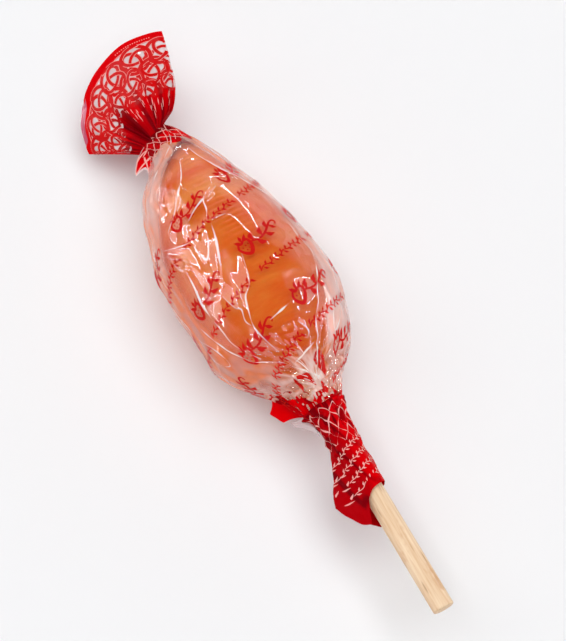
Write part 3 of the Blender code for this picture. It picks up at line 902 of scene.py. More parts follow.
clear_film = film_material("clear_film", "ffe9e2", "fb8c4a", 0.025, 0.074)
pink_film = film_material("pink_film", "fff0f1", "d84a70", 0.05, 0.06)

# %% [markdown]
# On the bag, the film is clear where it lies on the candy. It is hazy beside the candy, where
# many wrinkles are seen edge on, and whitest at the gather, where folds meet in a star. The
# red border starts again at the gather with a ragged edge, because the folds hide parts of it.

# %% Where ink and haze lie on the bag
# Lines on the flat film: x at places u, or u at places x. Glows: the share of painted orange glow of the
# candy in the haze, a value at places x.
GATHER_LINE = ((-30, -23.4, -14.6, -2.7, 8.0, 25.0), (70.3, 71.2, 74.0, 76.8, 77.0, 76.0))
BAND_LINE = ((-40, -20, -13.9, -8.4, -3.8, 2.2, 4.7, 7.4, 12, 17.9, 30),
             (63.0, 66.5, 67.5, 67.0, 65.5, 66.5, 67.5, 67.5, 67.0, 66.5, 66.0))
LEFT_EDGE = ((8, 10, 13.5, 20, 28, 35, 48, 53, 60, 66),
             (9.0, 1.0, -7.2, -13.0, -16.5, -17.5, -20.0, -18.5, -15.5, -10.0))
RIGHT_EDGE = ((8, 13.5, 20, 28, 35, 48, 53, 60, 66), (9, 12.5, 14, 15.5, 16, 15.5, 14, 12, 9))
LEFT_GLOW = ((8, 16, 24, 32, 46, 62), (0.40, 0.55, 0.60, 0.72, 0.85, 0.92))
RIGHT_GLOW = ((8, 30, 44, 52, 62), (0.90, 0.75, 0.40, 0.16, 0.16))
NECK_BAND, FLECKS_FROM = 7.7, 60.0


def bag_ink(points, x, u):
    """Ink from 0 to 1: full past the gather line, with pointed tongues and loose scraps before it, and full
    up to the neck band's end. Past FLECKS_FROM small flecks of it are left out: gaps where folds hide the
    print, and painted highlights of the crumples, since the pale hazy film shows through them."""
    past = x - np.interp(u, *GATHER_LINE)
    scraps = smooth_step(crumple(drawn_out(points, 0.7), 1.2, 66), 0.45, 0.60)
    ink = (np.clip(0.5 + past * 1.2 + 0.8 * crumple(drawn_out(points, 0.35), 1.7, 60), 0, 1)
           + np.clip(0.5 + (NECK_BAND + 0.05 * u - x) * 0.8 + 1.3 * noise(points, 1.6, 51), 0, 1)
           + scraps * smooth_step(past, -3.4, -0.6))
    fleck = noise(points * np.array((1.0, 2.2, 2.2)), 1.3, 52)
    return np.clip(ink, 0, 1) * np.where(x < FLECKS_FROM, 1.0, fleck < 0.45)


def bag_folds(points):
    """Long folds along the stick, from 0 to 1."""
    return np.clip(0.5 + 1.3 * noise(drawn_out(points, 0.35), 1.8, 54), 0, 1)


def bag_haze(points, x, u):
    """Share of haze, and the share of its painted orange glow, which stands in for the candy's light through
    the film. Past the band line the haze follows the star's rays, beside the candy it follows the long folds,
    and over the candy it is thin."""
    folds = bag_folds(points)
    rays, far = gather_rays(x, u)
    rays, near_star = np.maximum(rays, -0.5), 1 - smooth_step(far, 2.0, 8.0)
    beyond = np.maximum(smooth_step(np.interp(x, *LEFT_EDGE) - u, -2.0, 1.5),
                        smooth_step(u - np.interp(x, *RIGHT_EDGE), -2.0, 1.5))
    at_gather = smooth_step(x - np.interp(u, *BAND_LINE), -0.6, 0.8)
    at_tip = 1 - smooth_step(x, 8.5, 13.0)
    on_top = 1 - smooth_step(np.abs(u), 8.0, 14.0)
    right_side = smooth_step(u, 7.0, 12.0) * smooth_step(x, 8.0, 14.0) * (1 - smooth_step(x, 56.0, 64.0))
    low_left = smooth_step(-u, 9.0, 14.0) * smooth_step(x, 40.0, 54.0)
    gathered = 0.36 + 0.40 * rays + 0.10 * on_top + 0.28 * near_star + 0.30 * (folds - 0.5)
    beside = (0.50 + 0.35 * folds) * beyond
    over = (0.10 * at_tip + 0.24 * right_side + 0.34 * low_left) * (1 - beyond)
    veil = 0.004 + gathered * at_gather + (beside + over) * (1 - at_gather)
    # Painted light: the haze takes the candy's orange glow over and beside the candy, and in the gather.
    side_tint = np.where(u < 0, np.interp(x, *LEFT_GLOW), np.interp(x, *RIGHT_GLOW))
    side_tint = np.maximum(side_tint + 0.5 * (folds - 0.5), 0.86 * (1 - beyond)).clip(0, 1)
    gather_tint = (0.72 + 0.25 * smooth_step(u, 4.0, 9.0) - 0.8 * rays - 0.5 * near_star).clip(0, 1)
    return veil.clip(0, 0.92), side_tint * (1 - at_gather) + gather_tint * at_gather


def bag_layers(points, x):
    """Share of the deeper red: in random patches, as painted shade on long folds, and from overlapping layers
    close to the neck.
    """
    patches = noise(points, 2.4, 57) > 0.1
    return (0.45 * patches + 0.35 * (bag_folds(points) > 0.62)
            + 0.5 * smooth_step(-x, -5.0, -2.5)).clip(0, 1)


# %% Bag piece
BAG_ROWS, BAG_COLUMNS = 320, 300
along, turns = ring_grid(np.linspace(BAG_START, BAG_END, BAG_ROWS), BAG_COLUMNS)
points, u = bag_film(along, turns), flat_u(turns)
veil, tint = bag_haze(points, along, u)
bag = make_piece("bag_film", points, grid_faces(points, around=True, flip=True), clear_film, "film",
                 ink=bag_ink(points, along, u), veil=veil, tint=tint, layers=bag_layers(points, along))
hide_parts("wrapper")
print("haze on the bag: mean", veil.mean().round(2), "most", veil.max().round(2))

# %% [markdown]
# The fan's red border runs along its outer edge, and near the neck the bunched film is red all over. Its red
# is deeper where layers lie on each other at the neck, and painted shade deepens it along the long crease and
# in streaks over the pleats. On the left the back layer stands out past the border and shows as a pink strip.

# %% Fan piece
FAN_ROWS, FAN_COLUMNS = 130, 420
BORDER_WIDTH = 2.6
BUNCHED = ((0, 0.15, 0.3, 0.45, 0.6, 0.75, 1), (0.28, 0.28, 0.30, 0.34, 0.45, 0.24, 0.15))


def bunched_share(place):
    """How far the bunched-up film reaches from the neck, as a share of the way to the border."""
    return np.interp(place, *BUNCHED)


def fan_layers(share, place):
    """Share of the deeper red: overlapping layers at the neck, and painted shade beside the long crease and
    in streaks over the pleats.
    """
    crease = np.exp(-(((place - FAN_CREASE) / 0.10) ** 2)) * (1 - smooth_step(share, 0.25, 0.62))
    streak = smooth_step(np.abs(np.sin(math.pi * (9 * place + 0.5 * np.sin(7 * place)))), 0.75, 1.0)
    return (0.85 * crease + 0.55 * (1 - smooth_step(share, 0.05, 0.30))
            + 0.6 * streak * (1 - smooth_step(share, 0.20, 0.60))).clip(0, 1)


share, turns = ring_grid(np.linspace(0, 1, FAN_ROWS), FAN_COLUMNS)
points = fan_film(share, turns)
place, in_front = (1 - np.cos(turns)) / 2, np.sin(turns) > 0
inset = fan_reach(place) * (1 - share)
past_border = smooth_step(place, 0.60, 0.68) * (1 - smooth_step(place, 0.90, 0.95))
bunch_ink = 0.5 + (bunched_share(place) - share) * 7 + 0.8 * noise(points, 1.5, 53)
border_ink = 0.5 + np.minimum(BORDER_WIDTH + 0.5 * past_border - inset, inset - 1.4 * past_border + 0.3) * 3
side_ink = smooth_step(place, 0.970, 0.978)
strip = np.where(in_front, smooth_step(1.5 * past_border - inset, 0.0, 0.3), past_border * (inset < 4))
blush = 0.16 * smooth_step(noise(points, 3.5, 59), -0.1, 0.5)
fan = make_piece("fan_film", points, grid_faces(points, around=True, flip=False), pink_film, "film",
                 ink=np.maximum(np.maximum(bunch_ink, border_ink).clip(0, 1), side_ink),
                 veil=0.82 + 0.12 * strip.clip(0, 1), tint=np.maximum(strip, blush),
                 layers=fan_layers(share, place))
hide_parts("wrapper")

# %% [markdown]
# The skirt belongs to the printed border, so it is red all over. Painted shade makes it deeper red where
# folds wind round the stick and on its left half; at its top, where the film is crumpled into many layers,
# the crumples are deeper red from layers and painted shade.

# %% Skirt piece
SKIRT_ROWS, SKIRT_COLUMNS = 150, 260
share, turns = ring_grid(np.linspace(0, 1, SKIRT_ROWS), SKIRT_COLUMNS)
points = skirt_film(share, turns)
# Painted shade: a deeper red on the left half, in the winding folds and in the crumples at the top.
on_left = 0.5 - 0.5 * np.cos(turns)
fold_shade = smooth_step(skirt_winding(share, turns), 0.45, 0.0)
crumple_shade = smooth_step(-crumple(drawn_out(points, 0.5), 1.5, 45), -0.45, 0.25)
layers = (0.55 * smooth_step(on_left, 0.30, 0.75) + 0.7 * fold_shade * (0.4 + 0.6 * on_left)
          + 0.8 * (1 - smooth_step(share, 0.25, 0.55)) * crumple_shade).clip(0, 1)
skirt = make_piece("skirt_film", points, grid_faces(points, around=True, flip=True), clear_film, "film",
                   ink=1.0, veil=0.85, layers=layers)
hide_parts("wrapper")

# %% [markdown]
# ## The leaf and the flap
#
# Two bits of film stand off on the left. At the neck a gathered corner of the printed border
# ends in two pointed lobes. Below the candy a fold of the red band sticks out like a tongue,
# with a clear bit of the same fold beside it. Each is a sheet of two parameters: a from its
# root to its tip, b across it.

# %% Leaf and flap
def bent_edge(a, start, middle, end):
    """Parabola through three points, the middle one at a = 1/2."""
    start, middle, end = (np.array(v, float) for v in (start, middle, end))
    a = np.asarray(a)[..., None]
    return start * (1 - a) * (1 - 2 * a) + middle * 4 * a * (1 - a) + end * a * (2 * a - 1)


def sheet_between(a, b, one_edge, other_edge):
    """Straight lines from one bent edge to the other: b runs from -1 to 1 between them."""
    share = (np.asarray(b)[..., None] + 1) / 2
    return bent_edge(a, *one_edge) * (1 - share) + bent_edge(a, *other_edge) * share


def leaf_film(a, b):
    """Gathered corner: two pointed lobes side by side, each cupped, with a notch between."""
    length = smooth_through(b, (-1.0, -0.75, -0.35, 0.1, 0.5, 0.8, 1.0),
                            (0.84, 1.0, 0.92, 0.83, 0.92, 1.0, 0.84))
    base = sheet_between(a * length, b, ((4.3, -5.2, 18.2), (6.0, -7.6, 18.0), (8.6, -9.9, 16.6)),
                         ((6.2, -2.9, 19.0), (8.2, -4.3, 19.0), (10.9, -6.6, 17.2)))
    cup = 0.40 * np.sin(math.pi * np.abs(b)) * a + 0.10 * np.sin(9 * a + 4 * b)
    return base + cup[..., None] * np.array((0.1, -0.3, 0.95)) + 0.06 * noise(base, 1.5, 61)[..., None]


def flap_film(a, b):
    """Tongue of the red band: one edge comes out under the bag, the other is hollowed, and its
    end is cut aslant with a corner."""
    length = np.interp(b, (-1.0, 0.0, 0.5, 0.7, 1.0), (1.0, 1.29, 1.16, 1.125, 1.07))
    base = sheet_between(a * length, b, ((75.4, -3.2, 17.5), (71.6, -6.1, 15.5), (69.3, -8.4, 14.0)),
                         ((79.6, -3.4, 15.5), (76.6, -4.6, 14.4), (75.0, -8.0, 12.8)))
    bend = 0.45 * (1 - b**2) * np.sin(math.pi * a) + 0.16 * np.sin(6.0 * a + 2.5 * b)
    return base + bend[..., None] * np.array((0.1, -0.3, 0.95)) + 0.08 * noise(base, 1.8, 62)[..., None]


def bit_film(a, b):
    """A clear bit of the same fold, between the tongue and the skirt."""
    base = sheet_between(a, b, ((76.6, -3.6, 15.2), (76.3, -5.4, 14.0), (75.6, -7.4, 12.6)),
                         ((82.2, -3.7, 14.8), (79.6, -4.9, 13.8), (77.0, -7.0, 12.4)))
    bend = 0.35 * np.sin(4.0 * b + 2.0 * a)
    return base + bend[..., None] * np.array((0.1, -0.2, 0.95))


# %% Leaf and flap pieces
SHEET_SIDE = 60
a, b = np.meshgrid(np.linspace(0, 1, SHEET_SIDE), np.linspace(-1, 1, SHEET_SIDE), indexing="ij")


def sheet_piece(name, surface, finish, ink, veil):
    """A sheet of film from a surface function, with its ink and haze. Its red is deeper towards its root,
    from overlapping layers and painted shade."""
    points = surface(a, b)
    piece = make_piece(name, points, grid_faces(points, around=False, flip=False), finish, "film",
                       ink=ink, veil=veil, layers=0.45 * (1 - smooth_step(a, 0.2, 0.9)))
    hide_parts("wrapper")


leaf_ink = np.clip(0.5 + 6 * (0.93 - np.abs(b)), 0, 1) * (a < 0.93)
sheet_piece("leaf", leaf_film, pink_film, leaf_ink, 0.8)
sheet_piece("tongue", flap_film, clear_film, 1.0, 0.0)
sheet_piece("clear_bit", bit_film, pink_film, 0.0, 0.35)

# %% [markdown]
# ## The print
#
# A flexographic press lays glossy ink on the flat film before it is wrapped, so the print
# follows every fold. It is made the same way: each stroke is a ribbon with its own width,
# laid out on the flat film and then carried onto the film's surface, about a tenth of a
# millimetre above it. The pattern is generic: berry sprigs in slanting rows, with a thin
# running vine under each row, and knotwork and a lattice in the red borders.

# %% Strokes
STROKE_STEPS, RIBBON_COLUMNS = 22, 4
SLOPE_STEP = 0.15


def curve(control, width, steps=STROKE_STEPS):
    """Stroke through control points by a Catmull-Rom spline. width is (start, middle, end).
    Returns steps rows of (a, b, width)."""
    c = np.asarray(control, float)
    c = np.vstack([2 * c[0] - c[1], c, 2 * c[-1] - c[-2]])
    t = np.linspace(0, len(c) - 3 - 1e-9, steps)
    k = t.astype(int)
    u = (t - k)[:, None]
    p0, p1, p2, p3 = c[k], c[k + 1], c[k + 2], c[k + 3]
    at = 0.5 * (2 * p1 + (p2 - p0) * u + (2 * p0 - 5 * p1 + 4 * p2 - p3) * u**2
                + (3 * p1 - p0 - 3 * p2 + p3) * u**3)
    return np.column_stack([at, np.interp(np.linspace(0, 1, steps), (0, 0.5, 1), width)])


def curves(table, steps=STROKE_STEPS):
    """Strokes from a table of control points and widths."""
    return np.array([curve(control, width, steps) for control, width in table])


def place_strokes(strokes, centres, along, origin):
    """Copies of strokes on the flat film: origin goes to each centre, and the strokes' first
    axis is turned to the direction along. Returns an array (copies x strokes, steps, 3)."""
    e1 = np.asarray(along, float) / np.linalg.norm(along)
    e2 = np.array((-e1[1], e1[0]))
    local = strokes[..., :2] - np.asarray(origin, float)
    flat = local[..., :1] * e1 + local[..., 1:2] * e2
    placed = centres[:, None, None, :] + flat[None]
    wide = np.broadcast_to(strokes[None, ..., 2:], placed.shape[:-1] + (1,))
    return np.concatenate([placed, wide], axis=-1).reshape(-1, strokes.shape[1], 3)


def uneven_width(strokes, size, seed, base, swing, least, most):
    """Each width becomes width x (base + swing x noise), by noise of the given size. That
    factor stays between least and most."""
    uneven = noise(stack(strokes[..., 0], strokes[..., 1], 0.0), size, seed)
    strokes[..., 2] *= np.clip(base + swing * uneven, least, most)


# %% Ribbons on a surface
def print_piece(name, strokes, surface, finish, lift, side=1.0, extra=0.0, waves=0.0, layers=None,
                keep=None):
    """Ribbons of ink: both edges of each stroke are half its width from its middle line, and
    are carried onto the surface plus lift along its normal. side = -1 is for a surface whose
    second coordinate runs the other way. waves lift the middle line, extra widens it, and
    keep says where a ribbon stays."""
    middle, wide = strokes[..., :2], strokes[..., 2] + extra
    ahead = np.gradient(middle, axis=1)
    ahead /= np.maximum(np.linalg.norm(ahead, axis=-1, keepdims=True), 1e-9)
    left = np.stack([-ahead[..., 1], ahead[..., 0]], axis=-1)
    across = np.linspace(-0.5, 0.5, RIBBON_COLUMNS)
    edges = middle[:, :, None, :] + (across * wide[..., None])[..., None] * left[:, :, None, :]
    a, b = edges[..., 0], edges[..., 1]
    out = -side * normals_of(surface, a, b, SLOPE_STEP, SLOPE_STEP)
    height = lift + np.broadcast_to(waves, wide.shape)[..., None, None]
    points = surface(a, b) + height * out
    count, steps = wide.shape
    n = (np.arange(count * steps).reshape(count, steps)[:, :-1, None] * RIBBON_COLUMNS
         + np.arange(RIBBON_COLUMNS - 1))
    faces = np.stack([n, n + RIBBON_COLUMNS, n + RIBBON_COLUMNS + 1, n + 1], axis=-1)
    if side < 0:
        faces = faces[..., ::-1]
    if keep is not None:
        kept = keep(middle[..., 0], middle[..., 1])
        faces = faces[kept[:, :-1] & kept[:, 1:]]
    used, faces = np.unique(faces, return_inverse=True)
    shades = {} if layers is None else {"layers": layers(a, b).ravel()[used]}
    piece = make_piece(name, points.reshape(-1, 3)[used], faces.reshape(-1, 4).tolist(), finish,
                       "film", **shades)
    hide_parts("wrapper")


# %% [markdown]
# Ink is a thin glossy coat that lets no light through. The pale lines are the film's ground with hardly any
# ink, so they differ from the red ones in colour alone. The same pale colour also paints the glints on the
# fan's folds.

# %% Ink materials
def ink_material(name, colour, roughness):
    """Flexographic ink, 2 microns thick on film, slightly less glossy than film. An attribute mixes in a
    deeper red: overlapping layers and painted shade in the fan's crease and pleats.
    """
    made, tree = new_material(name)
    where = node(tree, "TexCoord").outputs["Object"]
    uneven = node(tree, "TexNoise", {"Vector": where, "Scale": 2500.0, "Detail": 2.0})
    rough = node(tree, "MapRange", {"Value": uneven.outputs["Fac"], "To Min": roughness - 0.06,
                                    "To Max": roughness + 0.06})
    layers = node(tree, "Attribute", attribute_name="layers").outputs["Fac"]
    tone = node(tree, "Mix", {"Factor": layers, 6: srgb(colour), 7: srgb(LAYERED_AND_SHADED_RED)}, data_type="RGBA")
    shade = node(tree, "BsdfPrincipled", {"Base Color": tone.outputs[2], "Roughness": rough.outputs["Result"],
                                          "IOR": 1.45, "Specular IOR Level": 0.06})
    node(tree, "OutputMaterial", {"Surface": shade.outputs["BSDF"]})
    return made


print_ink = ink_material("print_ink", "cc1209", 0.35)
knot_ink = ink_material("knot_ink", "d20206", 0.20)
pale_print_and_glint = ink_material("pale_print_and_glint", "f0a8a0", 0.35)

# %% [markdown]
# A sprig is 13 mm long: a berry with seeds and a cap of three leaves, and a stem that curls
# away with leaves of its own. The strokes swell and taper as a brush would make them. A vine
# is a thin wavy stem with small leaves left and right of it.

# %% Sprigs and vines
LEAF_BASE, LEAF_TIP = 0.15, 0.05
CAP_WIDTH, SEED_WIDTH = (0.2, 0.75, 0.05), (0.1, 0.33, 0.1)
SPRIG = curves([
    (((1.0, 3.1), (0.35, 2.2), (0.5, 1.0), (1.5, -0.1), (2.6, 0.5), (3.4, 1.7), (3.4, 2.9), (2.6, 3.2)),
     (0.4, 0.85, 0.5)),
    (((1.0, 3.1), (1.7, 2.8), (2.6, 3.2)), (0.4, 0.5, 0.4)),
    (((1.1, 2.1), (1.3, 1.7)), (0.1, 0.34, 0.1)),
    (((2.0, 2.2), (2.15, 1.8)), (0.1, 0.34, 0.1)),
    (((2.75, 2.2), (2.85, 1.8)), (0.1, 0.32, 0.1)),
    (((1.5, 1.2), (1.65, 0.8)), (0.1, 0.32, 0.1)),
    (((2.3, 1.3), (2.4, 0.9)), (0.1, 0.32, 0.1)),
    (((1.8, 3.0), (1.1, 3.5), (0.7, 4.1)), CAP_WIDTH),
    (((2.0, 3.1), (2.3, 3.9), (2.5, 4.6)), CAP_WIDTH),
    (((2.3, 3.1), (3.2, 3.5), (4.0, 4.2)), CAP_WIDTH),
    (((3.3, 2.2), (4.6, 1.5), (6.4, 1.2), (8.4, 1.7), (10.4, 2.6), (11.9, 3.0), (12.6, 2.4), (12.1, 1.8)),
     (0.35, 0.5, 0.3)),
    (((5.0, 1.4), (5.4, 0.3), (6.7, -0.5)), (LEAF_BASE, 1.25, LEAF_TIP)),
    (((7.9, 1.5), (8.5, 0.6), (9.8, 0.2)), (LEAF_BASE, 1.1, LEAF_TIP)),
    (((4.4, 1.6), (4.5, 2.8), (5.5, 3.7)), (LEAF_BASE, 1.2, LEAF_TIP)),
    (((6.8, 1.3), (7.1, 2.5), (8.1, 3.3)), (LEAF_BASE, 1.15, LEAF_TIP)),
    (((9.2, 2.1), (9.6, 3.1), (10.5, 3.8)), (LEAF_BASE, 0.95, LEAF_TIP)),
    (((10.2, 2.5), (10.8, 1.6), (11.5, 1.0)), (LEAF_BASE, 0.8, LEAF_TIP)),
])
STEM_LENGTH, STEM_WAVE, STEM_WIDTH = 4.1, 3.2, (0.26, 0.26, 0.26)
stems = [([(q, 0.28 * math.sin(2 * math.pi * q / STEM_WAVE))
           for q in np.arange(-0.6 + STEM_LENGTH * k, 3.6 + STEM_LENGTH * k, 0.4)], STEM_WIDTH)
         for k in range(4)]
small_leaves = [(((q, 0.05), (q + 0.30, 0.55 * turn), (q + 0.75, 0.98 * turn)), (0.12, 0.52, 0.05))
                for q, turn in zip(np.arange(-0.3, 15.6, 0.82), [1, -1] * 10)]
VINE = curves(stems + small_leaves)
print("strokes of a sprig:", len(SPRIG), "and of a vine:", len(VINE))

# %% Print on the bag
SLOPE, SPRIG_PITCH = -0.304, 18.0
ROWS = ((25.1, -5.7), (42.0, 4.9), (58.0, -8.6), (71.6, -0.8))
CROWDED, CROWDED_RADIUS = np.array((71.6, -0.8)), 3.0
BAG_LIFT, MARGIN_LOW, MARGIN_HIGH = 0.05, 7.0, 75.5


def on_bag(x, u):
    """Flat film to the bag's surface: angle = quarter turn - u / R."""
    return bag_film(x, math.pi / 2 - u / FLAT_RADIUS)


centres = np.array([(start + SLOPE * (shift + SPRIG_PITCH * k), shift + SPRIG_PITCH * k)
                    for start, shift in ROWS for k in range(-3, 3)])
centres = centres[np.hypot(*(centres - CROWDED).T) > CROWDED_RADIUS]
sprigs = place_strokes(SPRIG, centres, (SLOPE, 1.0), (6.4, 2.0))
vines = place_strokes(VINE, centres, (SLOPE, 1.0), (6.4, 6.2))
rows_of_print = np.concatenate([sprigs, vines]) * np.array((1.0, 1.0, 1.08))
reach_x = rows_of_print[..., 0]
inside_bag = (reach_x.min(axis=1) > MARGIN_LOW) & (reach_x.max(axis=1) < MARGIN_HIGH)
print_piece("bag_print", rows_of_print[inside_bag], on_bag, print_ink, BAG_LIFT)
folded = curves([
    (((69.7, 2.3), (69.2, 4.0), (70.8, 5.8), (72.4, 6.9)), (1.2, 3.8, 1.4)),
    (((70.4, -7.7), (71.7, -8.0), (73.3, -7.4)), (0.6, 2.2, 1.8)),
    (((70.6, -6.5), (71.7, -2.0), (73.6, 0.5)), (0.6, 2.0, 0.4)),
    (((73.5, 3.8), (74.6, 4.1), (75.8, 6.0)), (0.7, 2.4, 0.9)),
])
print_piece("bag_folded_print", folded, on_bag, print_ink, BAG_LIFT)

# %% [markdown]
# The white lines that the lamps draw along hard creases are painted on: each crease of the bag gets a thin
# milky-white ribbon of uneven width along its line, thinner at both ends. Short white rays, painted
# highlights too, run out from the star in the gather, where the folds are sharpest.

# %% Painted highlights along the bag's creases
def painted_crease_highlight():
    """Painted highlight along a crease: milky white, mostly opaque, glossy."""
    made, tree = new_material("painted_crease_highlight")
    clear = node(tree, "BsdfTransparent", {"Color": srgb("fefcfc")})
    white = node(tree, "BsdfPrincipled", {"Base Color": srgb("fff6f0"), "Roughness": 0.2, "IOR": 1.49})
    mixed = node(tree, "MixShader", {0: 0.8, 1: clear.outputs["BSDF"], 2: white.outputs["BSDF"]})
    node(tree, "OutputMaterial", {"Surface": mixed.outputs["Shader"]})
    return made


CREASES_SHOWN, CREASE_STEPS, CREASE_WIDTH = 20, 44, (0.04, 0.34, 0.04)
RAYS, RAY_CENTRE, RAY_START = 12, (73.6, 1.8), 1.0
draw = np.random.default_rng(5)
ray_turns = np.radians(np.linspace(-50.0, 82.0, RAYS) + draw.uniform(-5, 5, RAYS))
ray_ends = draw.uniform(4.0, 8.5, RAYS) + 3.5 * (ray_turns > 0.35)
ray_bends, ray_widths = draw.uniform(-3, 3, RAYS), draw.uniform(0.14, 0.40, RAYS)


def ray(turn, end, bend, width):
    """One ray: three points ever further from the star, bent to one side, and their widths."""
    far = np.array((RAY_START, 0.5 * end, end))
    return np.column_stack([RAY_CENTRE[0] - far * math.cos(turn),
                            RAY_CENTRE[1] - far * math.sin(turn) + 0.05 * far * bend]), (0.10, width, 0.04)


shown = [(line, CREASE_WIDTH) for _, _, line in CREASES[:CREASES_SHOWN]]
shown += [ray(*values) for values in zip(ray_turns, ray_ends, ray_bends, ray_widths)]
crease_highlights = curves(shown, CREASE_STEPS)
uneven_width(crease_highlights, 2.2, 64, 0.85, 1.5, 0.08, 2.0)
print_piece("bag_crease_highlights", crease_highlights, on_bag, painted_crease_highlight(), 0.06)

# %% [markdown]
# The border of the fan is knotwork, an old pattern that many regions share: circles that
# overlap, with a looped knot in each. Every strand has a pale line on both sides, and where
# strands cross, the upper one is lifted a little.

# %% Places on the fan
FAN_WIDTH = 37.0
LEAST_SHARE = 0.03


def fan_spot(b, q):
    """Flat border to the fan: b millimetres in from its edge and q along it, as the share of
    the way from the neck, and the place across."""
    place = np.clip(q / FAN_WIDTH, 0.0, 1.0)
    return 1 - b / fan_reach(place), place


def on_fan(b, q, layer=1.0):
    """The fan's surface at a spot of its border, on the upper or lower layer."""
    share, place = fan_spot(b, q)
    theta = np.arccos(1 - 2 * place)
    return fan_film(np.clip(share, LEAST_SHARE, 1.0), theta if layer > 0 else 2 * math.pi - theta)


def clear_of_bunch(b, q, more=-0.03):
    """True where the knotwork is spread out: further from the neck than the bunched film."""
    share, place = fan_spot(b, q)
    return (share > bunched_share(place) + more) & (q > 0) & (q < FAN_WIDTH)


def layers_on_fan(b, q):
    """The fan's deeper red, from overlapping layers and painted shade, for a spot of its border."""
    share, place = fan_spot(b, q)
    return fan_layers(np.clip(share, 0.0, 1.0), place)


print("middle of the fan's border:", on_fan(np.array([1.0]), np.array([18.5]))[0].round(1))

# %% Knotwork on the fan
KNOT_RADIUS, KNOT_WIDTH, KNOT_PITCH, KNOT_STEPS, KNOT_SHARE = 3.9, 0.94, 6.9, 72, 0.30
OUTLINE = 0.26


def knots(centres, radius, width, steps):
    """Overlapping circles with a trefoil in each: x = sin f + 2 sin 2f, y = cos f - 2 cos 2f,
    at a share of the radius and turned by a different angle in each circle. Returns strands
    (a, b, width) and their lifts."""
    f = np.linspace(0, 2 * math.pi, steps)
    one = KNOT_SHARE * radius * (np.sin(f) + 2 * np.sin(2 * f))
    other = KNOT_SHARE * radius * (np.cos(f) - 2 * np.cos(2 * f))
    strands, lifts = [], []
    for k, (b, q) in enumerate(centres):
        strands.append(np.column_stack([b + radius * np.cos(f), q + radius * np.sin(f), width + 0 * f]))
        lifts.append(0.055 * np.sin(3 * f + k))
        c, s = math.cos(0.4 + 1.3 * k), math.sin(0.4 + 1.3 * k)
        strands.append(np.column_stack([b + one * c - other * s, q + one * s + other * c,
                                        0.85 * width + 0 * f]))
        lifts.append(0.035 * np.sin(3 * f) + 0.01)
    return np.array(strands), np.array(lifts)


spots = [(b, start + KNOT_PITCH * k) for b, start, count in ((6.3, 1.2, 6), (11.6, 4.65, 5), (16.9, 1.2, 6))
         for k in range(count)]
strands, lifts = knots(spots, KNOT_RADIUS, KNOT_WIDTH, KNOT_STEPS)
for side, layer in (("front", 1.0), ("back", -1.0)):
    carry = lambda b, q, layer=layer: on_fan(b, q, layer)
    print_piece(f"fan_outline_{side}", strands, carry, pale_print_and_glint, 0.045, -layer, OUTLINE, lifts,
                keep=lambda b, q: clear_of_bunch(b, q, 0.03))
    print_piece(f"fan_knots_{side}", strands, carry, knot_ink, 0.085, -layer, 0.0, lifts,
                layers_on_fan, clear_of_bunch)

# %% [markdown]
# A pale wavy line closes the knotwork near the fan's edge, and a row of short specks lies
# outside of it near the tip.

# %% Edge line and specks on the fan
FAN_LIFT = 0.05
q = np.linspace(0.4, FAN_WIDTH - 0.4, 60)
scallop = np.column_stack([2.65 + 0.25 * np.cos(2 * math.pi * (q - 1.2) / KNOT_PITCH), q, np.full(60, 0.22)])
print_piece("fan_scallop", scallop[None], on_fan, pale_print_and_glint, FAN_LIFT, -1.0)
specks = curves([(((1.35, q), (1.45, q + 0.25)), (0.1, 0.34, 0.1)) for q in np.arange(3.2, 11.5, 0.55)], 6)
print_piece("fan_specks", specks, on_fan, pale_print_and_glint, FAN_LIFT, -1.0)

# %% [markdown]
# Near the neck the fan's film is folded hard, and short pale streaks run outwards over it: painted glints on
# those folds.
# Their places are random draws with a fixed start, the same in every run.

# %% Painted glints on the fan's bunched part
GLINTS = 34


def glint(draw):
    """A painted glint: a short pale streak at a random spot of the bunched film, wider the further out it
    lies.
    """
    q, far = draw.uniform(1.0, 19.0), draw.uniform(0.40, 1.0)
    place = q / FAN_WIDTH
    b = fan_reach(place) * (1 - far * (bunched_share(place) + 0.07))
    long, bend = draw.uniform(0.8, 2.2), draw.uniform(-0.2, 0.2)
    return ((b, q), (b + long / 2, q + 0.5 * bend), (b + long, q + bend)), (0.05, 0.15 + 0.25 * far, 0.05)


draw = np.random.default_rng(7)
print_piece("fan_glints", curves([glint(draw) for _ in range(GLINTS)], 8), on_fan, pale_print_and_glint, FAN_LIFT, -1.0)

# %% [markdown]
# The leaf is a corner of the same border: pale lines follow the edges of its two lobes, with
# a short one between them.

# %% Outlines on the leaf
LEAF_LENGTH, LEAF_HALF_WIDTH = 5.4, 1.9


def on_leaf(a, b):
    """Leaf in millimetres: a from its root, b to the side."""
    return leaf_film(np.clip(a / LEAF_LENGTH, 0, 1), np.clip(b / LEAF_HALF_WIDTH, -1, 1))


leaf_lines = curves([
    (((0.3, -0.2), (1.6, -1.1), (3.2, -1.7), (4.6, -1.75), (5.3, -1.45)), (0.3, 0.36, 0.3)),
    (((5.3, -1.45), (4.5, -0.5), (3.4, 0.5), (2.0, 1.2), (0.6, 1.3)), (0.3, 0.40, 0.3)),
    (((0.5, 1.0), (1.8, 1.6), (3.4, 1.85), (4.6, 1.8), (5.3, 1.5)), (0.3, 0.36, 0.3)),
    (((5.3, 1.5), (4.7, 0.8), (3.9, 0.1), (3.2, -0.3), (2.6, -0.5)), (0.3, 0.40, 0.2)),
    (((0.6, -0.4), (1.2, -0.5), (1.8, -0.6), (2.2, -0.7), (2.6, -0.8)), (0.2, 0.34, 0.1)),
])
print_piece("leaf_lines", leaf_lines, on_leaf, pale_print_and_glint, 0.06)

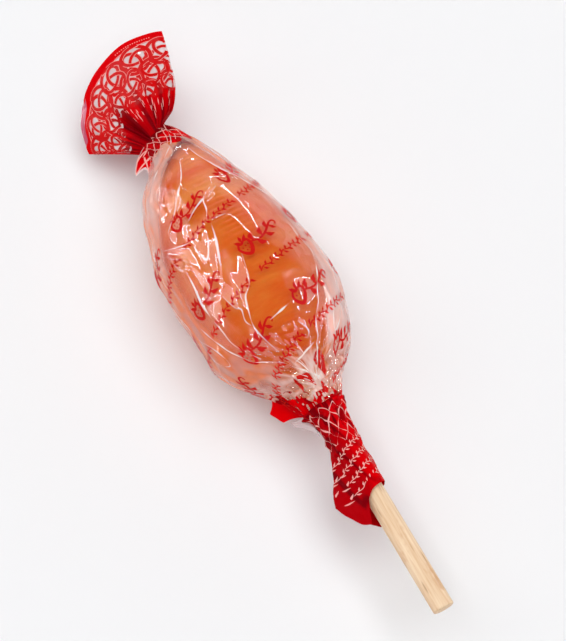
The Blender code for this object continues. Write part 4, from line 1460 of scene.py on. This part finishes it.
# %% [markdown]
# Where the border is bunched up, its pale lines cross in a plain lattice: round the neck and
# at the top of the skirt. Below that the skirt has slanting rows of small leaves, which stop
# before its mouth.

# %% Lattice on the neck
both_ways = [(u, turn) for u in np.arange(-50.0, 50.0, 6.0) for turn in (1, -1)]
neck_lines = curves([(((2.4, u), (4.2, u + 4.0 * turn), (6.0, u + 6.5 * turn), (8.0, u + 10.5 * turn)),
                      (0.25, 0.34, 0.2)) for u, turn in both_ways])
print_piece("neck_lines", neck_lines, on_bag, pale_print_and_glint, 0.06)

# %% Print on the skirt
SKIRT_RADIUS, SKIRT_LIFT, SKIRT_SLOPE = 3.5, 0.09, -0.40
SHOWN_HALF, LATTICE_HALF, MOUTH_GAP = 9.0, 10.9, 2.0


def on_skirt(x, u):
    """Skirt by millimetres: x along the stick, u round it from the top to the right."""
    theta = math.pi / 2 - u / SKIRT_RADIUS
    return skirt_film(np.clip((x - BAG_END) / (mouth(theta) - BAG_END), 0.0, 1.0), theta)


row_places = np.array([(x, 0.0) for x in (88.3, 91.2, 94.1, 97.0)])
leaf_rows = place_strokes(VINE * np.array((0.72, 0.72, 0.62)), row_places, (SKIRT_SLOPE, 1.0), (6.4, 0.0))
end_gap = mouth(math.pi / 2 - leaf_rows[..., 1] / SKIRT_RADIUS) - leaf_rows[..., 0]
aside = np.abs(leaf_rows[..., 1]).max(axis=1)
leaf_rows = leaf_rows[(end_gap.min(axis=1) > MOUTH_GAP) & (aside < SHOWN_HALF)]
print_piece("skirt_leaves", leaf_rows, on_skirt, pale_print_and_glint, SKIRT_LIFT)
both_ways = [(u, turn) for u in np.arange(-15.0, 15.0, 2.3) for turn in (1, -1)]
lattice = curves([(((78.0, u), (81.0, u + 2.0 * turn), (84.0, u + 3.6 * turn), (87.0, u + 5.6 * turn)),
                   (0.16, 0.20, 0.12)) for u, turn in both_ways], 44)
lattice = lattice[np.abs(lattice[..., 1]).max(axis=1) < LATTICE_HALF]
uneven_width(lattice, 1.3, 63, 0.8, 1.3, 0.1, 1.7)
print_piece("skirt_lattice", lattice, on_skirt, pale_print_and_glint, SKIRT_LIFT)
